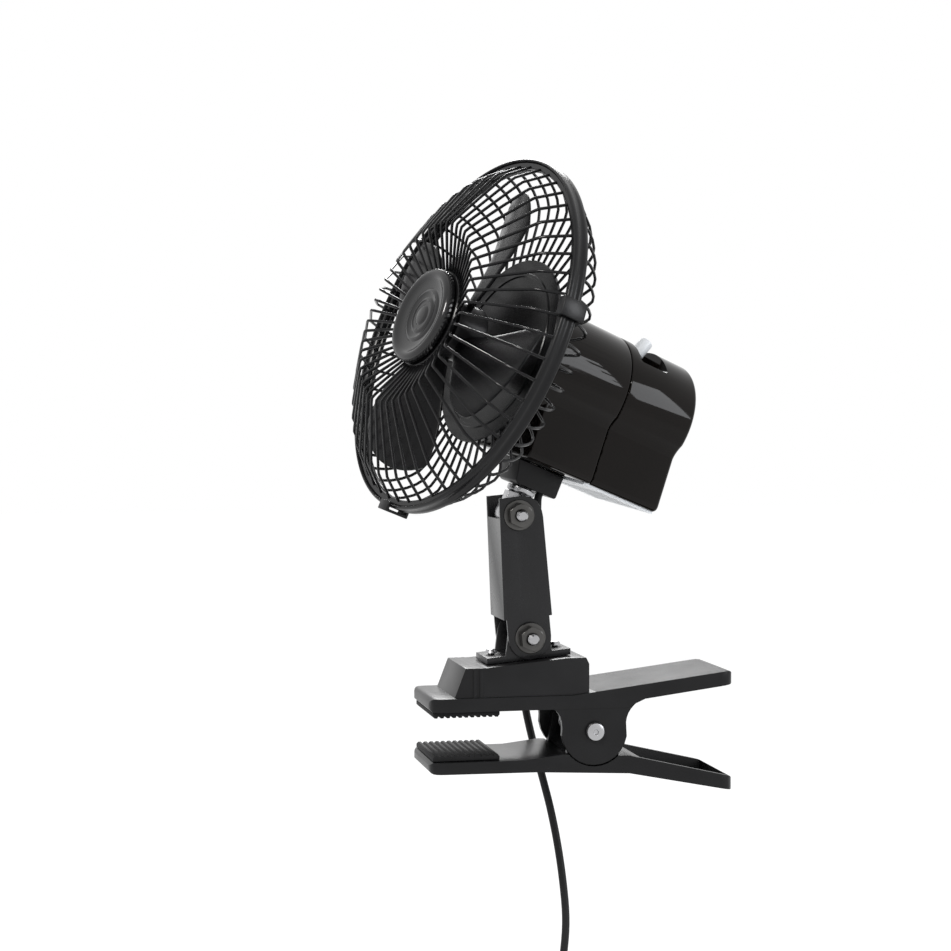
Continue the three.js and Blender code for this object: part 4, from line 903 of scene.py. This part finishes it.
# The head's section: where its round top ends, half its neck and base, and its corners.
ARC_END = 16
NECK_HALF = 26.4
NECK_TOP = -13
NECK_FOOT = -16
BASE_HALF = 29.5
BASE_CORNER = 3.5
BEND_STEPS = 8
# Along the head: the seam between housing and cover, the front and the rear face.
HOUSING_BACK = -20
SEAM = 18
SEAM_GAP = 0.3
COVER_BACK = 60
NOSE_FRONT = 37.9
BACK_ROUNDING = 0.0046
SEAM_ROUNDING = 0.0008
# The pull knob leans back in the well on the cover's top.
KNOB = HEAD @ Matrix.Translation((29, -4, 22)) @ turn_y(radians(22))


def arc(r, start, end, steps):
    """Points on a circle round the middle, between two angles in degrees."""
    angles = [radians(start + (end - start) * i / steps) for i in range(steps + 1)]
    return [(r * cos(a), r * sin(a)) for a in angles]


def bend(a, b, c, steps):
    """A quadratic bend from a to c towards b, without its first point."""
    spots = []
    for i in range(1, steps + 1):
        t = i / steps
        u = 1 - t
        spots.append(tuple(u * u * p + 2 * u * t * q + t * t * w for p, q, w in zip(a, b, c)))
    return spots


def head_section():
    """The head's outline in Y and Z: round above, drawn in, then flared to its base."""
    low, high = SHELL_BASE, SHELL_BASE + BASE_CORNER
    side, foot = BASE_HALF, BASE_HALF - BASE_CORNER
    neck = (NECK_HALF, NECK_FOOT)
    right = (SHELL_R * cos(radians(ARC_END)), -SHELL_R * sin(radians(ARC_END)))
    spots = arc(SHELL_R, -ARC_END, 180 + ARC_END, 60)
    spots += bend(spots[-1], (-NECK_HALF, NECK_TOP), (-NECK_HALF, NECK_FOOT), BEND_STEPS)
    spots += [(-side, high)]
    spots += bend((-side, high), (-side, low), (-foot, low), BEND_STEPS)
    spots += [(foot, low)]
    spots += bend((foot, low), (side, low), (side, high), BEND_STEPS)
    spots += [neck]
    spots += bend(neck, (NECK_HALF, NECK_TOP), right, BEND_STEPS)[:-1]
    return spots


class CLIPFAN_OT_head(bpy.types.Operator):
    """Make the motor head's housing, cover, block, stem and controls"""

    bl_idname = "clipfan.head"
    bl_label = "Motor Head"

    def execute(self, context):
        self.front()
        self.rear()
        dressed_copy("underside_plate", milky_plastic(), "head", 0.0003)
        dressed_copy("swing_block", moulded_black(), "head", 0.0008, segments=3)
        self.knob()
        dressed_copy("speed_switch", milky_plastic(), "switch", 0.0004, "slider")
        self.grommet()
        dressed_copy("tilt_stem", bright_zinc(), "stem", 0.0007, "pivot_stem", 3)
        return {"FINISHED"}

    def front(self):
        """The housing with its round nose, the shaft's mouth and the post's bore."""
        body = slab("housing", head_section(), HEAD, HOUSING_BACK, SEAM, "YZ")
        rounded(body, 0.0011, 4, 50)
        nose_profile = [
            (0, SEAM),
            (SHELL_R, SEAM),
            (SHELL_R, NOSE_FRONT - 2.3),
            (SHELL_R - 0.3, NOSE_FRONT - 1.1),
            (SHELL_R - 1.1, NOSE_FRONT - 0.3),
            (SHELL_R - 2.2, NOSE_FRONT),
            (0, NOSE_FRONT),
        ]
        nose = spun("nose", nose_profile, FORWARD, 120)
        combined(body, nose, "UNION")
        self.plate_room(body)
        mouth = spun("mouth", [(0, 34), (6, 34), (6, 40), (0, 40)], FORWARD, 48)
        combined(body, mouth, "DIFFERENCE")
        bore = spun("bore", [(0, -60), (5.3, -60), (5.3, -36), (0, -36)], HEAD, 48)
        combined(body, bore, "DIFFERENCE")
        dressed(rounded(body, 0, angle=28), housing_gloss(), "head", "front_housing")

    def plate_room(self, body):
        """Takes out the room of the plate under the head."""
        outline = [(15.3, -27.3), (58.8, -27.3), (58.8, 27.3), (15.3, 27.3)]
        room = slab("plate_room", outline, HEAD, SHELL_BASE - 2, SHELL_BASE + 1, "XY")
        combined(body, room, "DIFFERENCE")

    def rear(self):
        """The cover with the knob's well and hole and the slider's slot."""
        cover = slab("cover", head_section(), HEAD, SEAM + SEAM_GAP, COVER_BACK, "YZ")
        self.round_ends(cover)
        self.plate_room(cover)
        outline = [(24.2, -40), (41, -40), (41, 9), (24.2, 9)]
        well = slab("well", outline, HEAD, 22, 50, "XY")
        rounded(well, 0.0015, 4, 60)
        combined(cover, well, "DIFFERENCE")
        hole = spun("knob_hole", [(0, -6), (2.3, -6), (2.3, 3), (0, 3)], KNOB, 32)
        combined(cover, hole, "DIFFERENCE")
        slot_outline = [(57, -1.4), (61, -1.4), (61, 1.4), (57, 1.4)]
        slot = slab("slot", slot_outline, HEAD, -23.3, -8.7, "XY")
        combined(cover, slot, "DIFFERENCE")
        dressed(rounded(cover, 0, angle=28), housing_gloss(), "head", "rear_cover")

    def round_ends(self, cover):
        """Rounds the rear edge widely and the seam's edge a little."""
        pick(cover)
        bpy.ops.object.mode_set(mode="EDIT")
        bpy.ops.mesh.select_mode(type="EDGE")
        back = HEAD.inverted()
        for end, offset, segments in (
            (COVER_BACK, BACK_ROUNDING, 8),
            (SEAM + SEAM_GAP, SEAM_ROUNDING, 3),
        ):
            bpy.ops.mesh.select_all(action="DESELECT")
            mesh = bmesh.from_edit_mesh(cover.data)
            for edge in mesh.edges:
                spots = [back @ (v.co / MM) for v in edge.verts]
                edge.select = all(abs(s.x - end) < 0.1 for s in spots)
            bmesh.update_edit_mesh(cover.data)
            bpy.ops.mesh.bevel(
                offset=offset, segments=segments, affect="EDGES", clamp_overlap=True
            )
        bpy.ops.object.mode_set(mode="OBJECT")

    def knob(self):
        profile = [
            (0, -7),
            (1.8, -7),
            (1.8, 4.8),
            (3.0, 4.8),
            (3.4, 5.2),
            (3.5, 5.8),
            (3.5, 12.6),
            (3.3, 13.4),
            (2.7, 13.9),
            (0, 14),
        ]
        piece = spun("pull_knob", profile, KNOB, 48)
        dressed(rounded(piece, 0, angle=30), milky_plastic(), "knob", "swing_knob")

    def grommet(self):
        place = HEAD @ Matrix.Translation((10.5, 0, 0))
        profile = ring(2.3, 3.1, -56, -50, 0.2)
        piece = spun("grommet", profile, place, 36, closed=True)
        dressed(rounded(piece, 0), soft_rubber(), "head", "lead_grommet")


# ---- Fan and motor ----

# The hub's bore, radius, rear and front face, from the rim's middle.
HUB_BORE = 2.3
HUB_R = 14
HUB_BACK = -4
HUB_FRONT = 13
# The blades' middle behind the hub's face, their thickness, root and turn about the axis.
BLADE_BEHIND = 8.5
BLADE_THICK = 1.4
BLADE_ROOT = 12
BLADE_TURN = 0.28


class CLIPFAN_OT_rotor(bpy.types.Operator):
    """Make the fan and finish the motor's inner pieces"""

    bl_idname = "clipfan.rotor"
    bl_label = "Fan and Motor"

    def execute(self, context):
        self.blade()
        self.inner()
        return {"FINISHED"}

    def blade(self):
        """The hub and its blades, joined to one piece."""
        hub_profile = [
            (HUB_BORE, RIM + HUB_BACK),
            (HUB_R - 0.4, RIM + HUB_BACK),
            (HUB_R, RIM - 3.4),
            (HUB_R, RIM + 10),
            (HUB_R - 0.6, RIM + 11.8),
            (HUB_R - 2, RIM + 12.8),
            (HUB_R - 3, RIM + HUB_FRONT),
            (HUB_BORE, RIM + HUB_FRONT),
        ]
        hub = rounded(spun("fan", hub_profile, FORWARD, 96, closed=True), 0)
        blades = [self.sheet(i) for i in range(sizes().blade_count)]
        rounded(joined(hub, *blades), 0, angle=40)
        dressed(hub, blade_black(), "fan", "fan_blade")

    def sheet(self, i):
        """One blade: a bent grid made thick, turned to its place round the axis."""
        clear_selection()
        bpy.ops.mesh.primitive_grid_add(x_subdivisions=16, y_subdivisions=14, size=1)
        sheet = bpy.context.object
        sheet.name = f"blade_{i + 1}"
        for vertex in sheet.data.vertices:
            vertex.co = self.blade_spot(vertex.co.x, vertex.co.y + 0.5) * MM
        thick = sheet.modifiers.new("thickness", "SOLIDIFY")
        thick.thickness = BLADE_THICK * MM
        thick.offset = 0
        bpy.ops.object.modifier_apply(modifier=thick.name)
        edit_mode()
        bpy.ops.mesh.normals_make_consistent(inside=False)
        turn = Matrix.Rotation(2 * pi * (i + BLADE_TURN) / sizes().blade_count, 4, "X")
        mid = RIM + HUB_FRONT - BLADE_BEHIND
        placed(sheet, HEAD @ turn @ Matrix.Translation((-mid, 0, 0)))
        return rounded(sheet, 0.0004, 2, 50)

    def blade_spot(self, s, t):
        """A point of the blade, from its leading to its trailing edge and from hub to tip.

        The tip's corners are rounded off, and the pitch grows less towards the tip.
        """
        root, tip = BLADE_ROOT, sizes().blade_radius / MM
        r = root + (tip - root) * t * (1 - 0.4 * s * s * t)
        spread = radians(22 + 32 * sin(pi * (0.16 + 0.6 * t)))
        angle = s * spread + radians(10) * t
        pitch = radians(27) * (1.25 - 0.45 * t)
        k = -r * s * spread * tan(pitch) * 0.62 + 2.4 * sin(pi * (s + 0.5))
        return Vector((-k, r * sin(angle), r * cos(angle)))

    def inner(self):
        """Pieces inside the head keep their own shape and get their finish."""
        plain = {
            "stator": laminated_steel(),
            "rotor_core": laminated_steel(),
            "stator_cradle": moulded_black(),
            "winding_front": winding_copper(),
            "winding_rear": winding_copper(),
            "front_bearing": turned_brass(),
            "rear_bearing": turned_brass(),
            "front_bracket": bright_zinc(),
            "rear_bracket": bright_zinc(),
            "wheel_post": bright_zinc(),
            "motor_shaft": dull_steel(),
            "spinner_nut": dull_steel(),
            "worm": turned_brass(),
            "worm_wheel": milky_plastic(),
        }
        for node, material in plain.items():
            finish_node(node, material)


def finish_node(node, material):
    """Gives a node that keeps its own shape its finish."""
    data = NODES[node].data
    data.materials.clear()
    data.materials.append(material)


# ---- Arm and clamp ----

# A bolt's thread: its end, first turn, radii and pitch. Its head: underside and radius.
BOLT_END = -24.8
THREAD_START = -17
THREAD_R = 2.5
THREAD_ROOT = 2.2
THREAD_PITCH = 0.7
BOLT_HEAD = 15.3
BOLT_HEAD_R = 5.1
NUT_ACROSS = 10.6
# A handle's face gets the grip behind this place, if it is level and large enough.
GRIP_FROM = 0.078
GRIP_LEVEL = 0.8
GRIP_AREA = 2e-4


class CLIPFAN_OT_arm(bpy.types.Operator):
    """Make the arm, its bolts, nuts and washers, and the bracket"""

    bl_idname = "clipfan.arm"
    bl_label = "Arm"

    def execute(self, context):
        rounding = sizes().edge_rounding
        dressed_copy("arm_channel", arm_paint(), "arm", rounding, "channel", 3)
        dressed_copy("base_bracket", arm_paint(), "clamp", 0.0005, "bracket", 3)
        for name, place in (("lower", ARM), ("upper", UPPER)):
            self.fastener(name, place @ ACROSS)
        for node in ("near_spacer", "far_spacer"):
            dressed_copy(node, bright_zinc(), "arm", 0.0003)
        for end in ("front", "rear"):
            dressed_copy(f"bracket_screw_{end}", bright_zinc(), "clamp", 0.0003)
        return {"FINISHED"}

    def fastener(self, name, place):
        """A bolt with a grooved thread and a domed head, its washer and its nut."""
        profile = [(0, BOLT_END), (THREAD_R - 0.6, BOLT_END), (THREAD_R, BOLT_END + 0.6)]
        h = BOLT_END + 0.8
        while h < THREAD_START:
            profile += [(THREAD_R, h), (THREAD_ROOT, h + 0.3), (THREAD_R, h + 0.6)]
            h += THREAD_PITCH
        profile += [(THREAD_R, BOLT_HEAD), (BOLT_HEAD_R, BOLT_HEAD), (BOLT_HEAD_R, 15.8)]
        profile += [(4.5, 17.3), (3.1, 18.3), (0, 18.6)]
        bolt = spun(name + "_bolt_fine", profile, place, 40)
        dressed(rounded(bolt, 0), bright_zinc(), "arm", name + "_bolt")
        washer_profile = ring(2.8, 7.5, -16.5, -15.3, 0.25)
        washer = spun(name + "_washer_fine", washer_profile, place, 64, closed=True)
        dressed(rounded(washer, 0), dark_steel(), "arm", name + "_washer")
        self.nut(name, place)

    def nut(self, name, place):
        """A hexagon with its outer corners turned off."""
        corner = NUT_ACROSS / 2 / cos(pi / 6)
        angles = [pi / 3 * i + pi / 2 for i in range(6)]
        outline = [(corner * cos(a), corner * sin(a)) for a in angles]
        body = slab(name + "_nut_fine", outline, place, -21.4, -16.8, "XY")
        crown_profile = [(0, -21.5), (5.2, -21.5), (7.6, -20), (7.6, -16.7), (0, -16.7)]
        crown = spun("crown", crown_profile, place, 48)
        combined(body, crown, "INTERSECT")
        bore = spun("bore", [(0, -23), (3.1, -23), (2.8, -21), (2.8, -15), (0, -15)], place, 40)
        combined(body, bore, "DIFFERENCE")
        dressed(rounded(body, 0.00012, 2, 25), dark_steel(), "arm", name + "_nut")


class CLIPFAN_OT_clamp(bpy.types.Operator):
    """Make the clamp's levers, pads, pin and spring"""

    bl_idname = "clipfan.clamp"
    bl_label = "Clamp"

    def execute(self, context):
        upper = dressed_copy("upper_lever", moulded_black(), "clamp", 0.0008, "top_lever", 3)
        lower = dressed_copy("lower_lever", moulded_black(), "jaw", 0.0008, "bottom_lever", 3)
        for piece in (upper, lower):
            self.grip(piece)
        dressed_copy("upper_pad", soft_rubber(), "clamp", 0.0002, "top_pad")
        dressed_copy("lower_pad", soft_rubber(), "jaw", 0.0002, "bottom_pad")
        self.pin()
        dressed_copy("pivot_clip", bright_zinc(), "clamp", 0.0002, "retainer")
        self.spring()
        return {"FINISHED"}

    def grip(self, piece):
        """Gives a handle's outer faces a coarse grip."""
        piece.data.materials.append(grip_black())
        way = 1 if piece.name.startswith("top") else -1
        for face in piece.data.polygons:
            outward = way * face.normal.z > GRIP_LEVEL
            if outward and face.center.x > GRIP_FROM and face.area > GRIP_AREA:
                face.material_index = 1

    def pin(self):
        """The clamp's pin with its domed head on the near side."""
        place = Matrix.Translation(PIVOT) @ ACROSS
        profile = [
            (0, -26.7),
            (1.0, -26.7),
            (1.3, -27.2),
            (3.2, -27.25),
            (4.1, -26.9),
            (4.6, -26.1),
            (4.6, -24.9),
            (3, -24.9),
            (3, 28.4),
            (0, 28.4),
        ]
        piece = spun("rivet_pin", profile, place, 48)
        dressed(rounded(piece, 0), bright_zinc(), "clamp", "pivot_pin")

    def spring(self):
        """Coils round the pin, with a straight leg to each lever."""
        r, leg, turns, span = 7.2, 12, 5, 29.4
        up, down = radians(13), radians(-47)
        start = up + pi / 2
        end = down - pi / 2 + 2 * pi * (turns + 1)
        spots = []
        steps = 180
        for i in range(steps + 1):
            share = i / steps
            a = start + (end - start) * share
            along, rise = PIVOT[0] + r * cos(a), PIVOT[2] + r * sin(a)
            spots.append(Vector((along, span * (share - 0.5), rise)))
        first = spots[0] + Vector((cos(up), 0, sin(up))) * leg
        last = spots[-1] + Vector((cos(down), 0, sin(down))) * leg
        wire = curve_tube("coil_spring", [first, *spots, last], 0.001, dull_steel())
        dressed(meshed(wire), dull_steel(), "clamp", "clamp_spring")


# ---- Stage ----

# The photo's camera, fitted to the solids: it stands a metre from the place it looks at.
LOOK_AT = Vector((0.009, 0, 0.115))
AZIMUTH = radians(12)
ELEVATION = radians(2)
SENSOR = 36
LENS = 77.7
FLOOR_SIZE = 14
FLOOR_GAP = 0.0005
FLOOR_GLOW = 1.13
FLOOR_SHARE = 0.8
WORLD_LIGHT = 0.55
# Every lamp's place in metres, width, power and tint, and where all of them point.
LAMPS = {
    "key": ((-0.9, -1.1, 1.3), 0.5, 26, (1, 0.98, 0.95)),
    "fill": ((1.2, -0.9, 0.5), 0.6, 9, (0.95, 0.97, 1)),
    "back": ((0.3, 1.3, 1.0), 0.6, 14, (1, 1, 1)),
}
LAMPS_AIM = Vector((0.03, 0, 0.1))


class CLIPFAN_OT_stage(bpy.types.Operator):
    """Set the floor, the light and the camera"""

    bl_idname = "clipfan.stage"
    bl_label = "Stage"

    def execute(self, context):
        self.camera(context)
        self.floor()
        self.world(context)
        self.lamps()
        context.scene.view_settings.view_transform = "Standard"
        return {"FINISHED"}

    def camera(self, context):
        clear_selection()
        level = cos(ELEVATION)
        look = Vector((sin(AZIMUTH) * level, cos(AZIMUTH) * level, -sin(ELEVATION)))
        place = LOOK_AT - look
        turn = look.to_track_quat("-Z", "Y").to_euler()
        bpy.ops.object.camera_add(location=place, rotation=turn)
        camera = context.object
        camera.name = "photo_camera"
        camera.data.sensor_width = SENSOR
        camera.data.lens = LENS
        camera.data.clip_start = 0.05
        camera.data.clip_end = 50
        context.scene.camera = camera

    def floor(self):
        """A pale floor that glows for the camera, so that no horizon shows."""
        clear_selection()
        height = CAD_BOX[0][2] - FLOOR_GAP
        bpy.ops.mesh.primitive_plane_add(size=FLOOR_SIZE, location=(0, 0, height))
        plane = bpy.context.object
        plane.name = "stage_floor"
        material = bpy.data.materials.new("pale_floor")
        material.use_nodes = True
        nodes, links = material.node_tree.nodes, material.node_tree.links
        shader = nodes["Principled BSDF"]
        shader.inputs["Base Color"].default_value = (0.86, 0.86, 0.86, 1)
        shader.inputs["Roughness"].default_value = 0.8
        glow = nodes.new("ShaderNodeEmission")
        glow.inputs["Color"].default_value = (1, 1, 1, 1)
        glow.inputs["Strength"].default_value = FLOOR_GLOW
        mix = nodes.new("ShaderNodeMixShader")
        share = nodes.new("ShaderNodeMath")
        share.operation = "MULTIPLY"
        share.inputs[1].default_value = FLOOR_SHARE
        links.new(seen_ray(nodes, links), share.inputs[0])
        links.new(share.outputs["Value"], mix.inputs["Fac"])
        links.new(shader.outputs["BSDF"], mix.inputs[1])
        links.new(glow.outputs["Emission"], mix.inputs[2])
        links.new(mix.outputs["Shader"], nodes["Material Output"].inputs["Surface"])
        plane.data.materials.append(material)

    def world(self, context):
        """White where the camera or a gloss sees it, and weaker where it only lights."""
        world = bpy.data.worlds.new("studio")
        world.use_nodes = True
        nodes, links = world.node_tree.nodes, world.node_tree.links
        nodes.clear()
        seen = nodes.new("ShaderNodeBackground")
        seen.inputs["Color"].default_value = (1, 1, 1, 1)
        seen.inputs["Strength"].default_value = 1
        lit = nodes.new("ShaderNodeBackground")
        lit.inputs["Color"].default_value = (0.95, 0.97, 1, 1)
        lit.inputs["Strength"].default_value = WORLD_LIGHT
        mix = nodes.new("ShaderNodeMixShader")
        output = nodes.new("ShaderNodeOutputWorld")
        links.new(seen_ray(nodes, links), mix.inputs["Fac"])
        links.new(lit.outputs["Background"], mix.inputs[1])
        links.new(seen.outputs["Background"], mix.inputs[2])
        links.new(mix.outputs["Shader"], output.inputs["Surface"])
        context.scene.world = world

    def lamps(self):
        for name, (place, size, power, tint) in LAMPS.items():
            clear_selection()
            bpy.ops.object.light_add(type="AREA", location=place)
            lamp = bpy.context.object
            lamp.name = name
            lamp.data.size = size
            lamp.data.energy = power
            lamp.data.color = tint
            aim = LAMPS_AIM - Vector(place)
            lamp.rotation_euler = aim.to_track_quat("-Z", "Y").to_euler()


def seen_ray(nodes, links):
    """One for rays that see the background: camera, glossy and transmission."""
    path = nodes.new("ShaderNodeLightPath")
    first = nodes.new("ShaderNodeMath")
    first.operation = "MAXIMUM"
    links.new(path.outputs["Is Camera Ray"], first.inputs[0])
    links.new(path.outputs["Is Glossy Ray"], first.inputs[1])
    second = nodes.new("ShaderNodeMath")
    second.operation = "MAXIMUM"
    links.new(first.outputs["Value"], second.inputs[0])
    links.new(path.outputs["Is Transmission Ray"], second.inputs[1])
    return second.outputs["Value"]


class CLIPFAN_PT_panel(bpy.types.Panel):
    """Shows the clip fan's sizes and colours, and a button for each step"""

    bl_idname = "CLIPFAN_PT_panel"
    bl_label = "Clip Fan"
    bl_space_type = "VIEW_3D"
    bl_region_type = "UI"
    bl_category = "Clip Fan"

    def draw(self, context):
        layout = self.layout
        for group in (context.scene.clip_fan_sizes, context.scene.clip_fan_colours):
            for name in group.__annotations__:
                layout.prop(group, name)
        for operator in OPERATORS:
            layout.operator(operator.bl_idname)


OPERATORS = (
    CLIPFAN_OT_stage,
    CLIPFAN_OT_cord,
    CLIPFAN_OT_clamp,
    CLIPFAN_OT_arm,
    CLIPFAN_OT_head,
    CLIPFAN_OT_guards,
    CLIPFAN_OT_rotor,
)
CLASSES = (ClipFanSizes, ClipFanColours, *OPERATORS, CLIPFAN_PT_panel)


def register():
    for cls in CLASSES:
        bpy.utils.register_class(cls)
    bpy.types.Scene.clip_fan_sizes = bpy.props.PointerProperty(type=ClipFanSizes)
    bpy.types.Scene.clip_fan_colours = bpy.props.PointerProperty(type=ClipFanColours)


def unregister():
    del bpy.types.Scene.clip_fan_colours
    del bpy.types.Scene.clip_fan_sizes
    for cls in reversed(CLASSES):
        bpy.utils.unregister_class(cls)


def main():
    register()
    bpy.ops.clipfan.stage()
    bpy.ops.clipfan.cord()
    bpy.ops.clipfan.clamp()
    bpy.ops.clipfan.arm()
    bpy.ops.clipfan.head()
    bpy.ops.clipfan.guards()
    bpy.ops.clipfan.rotor()


if __name__ == "__main__":
    main()
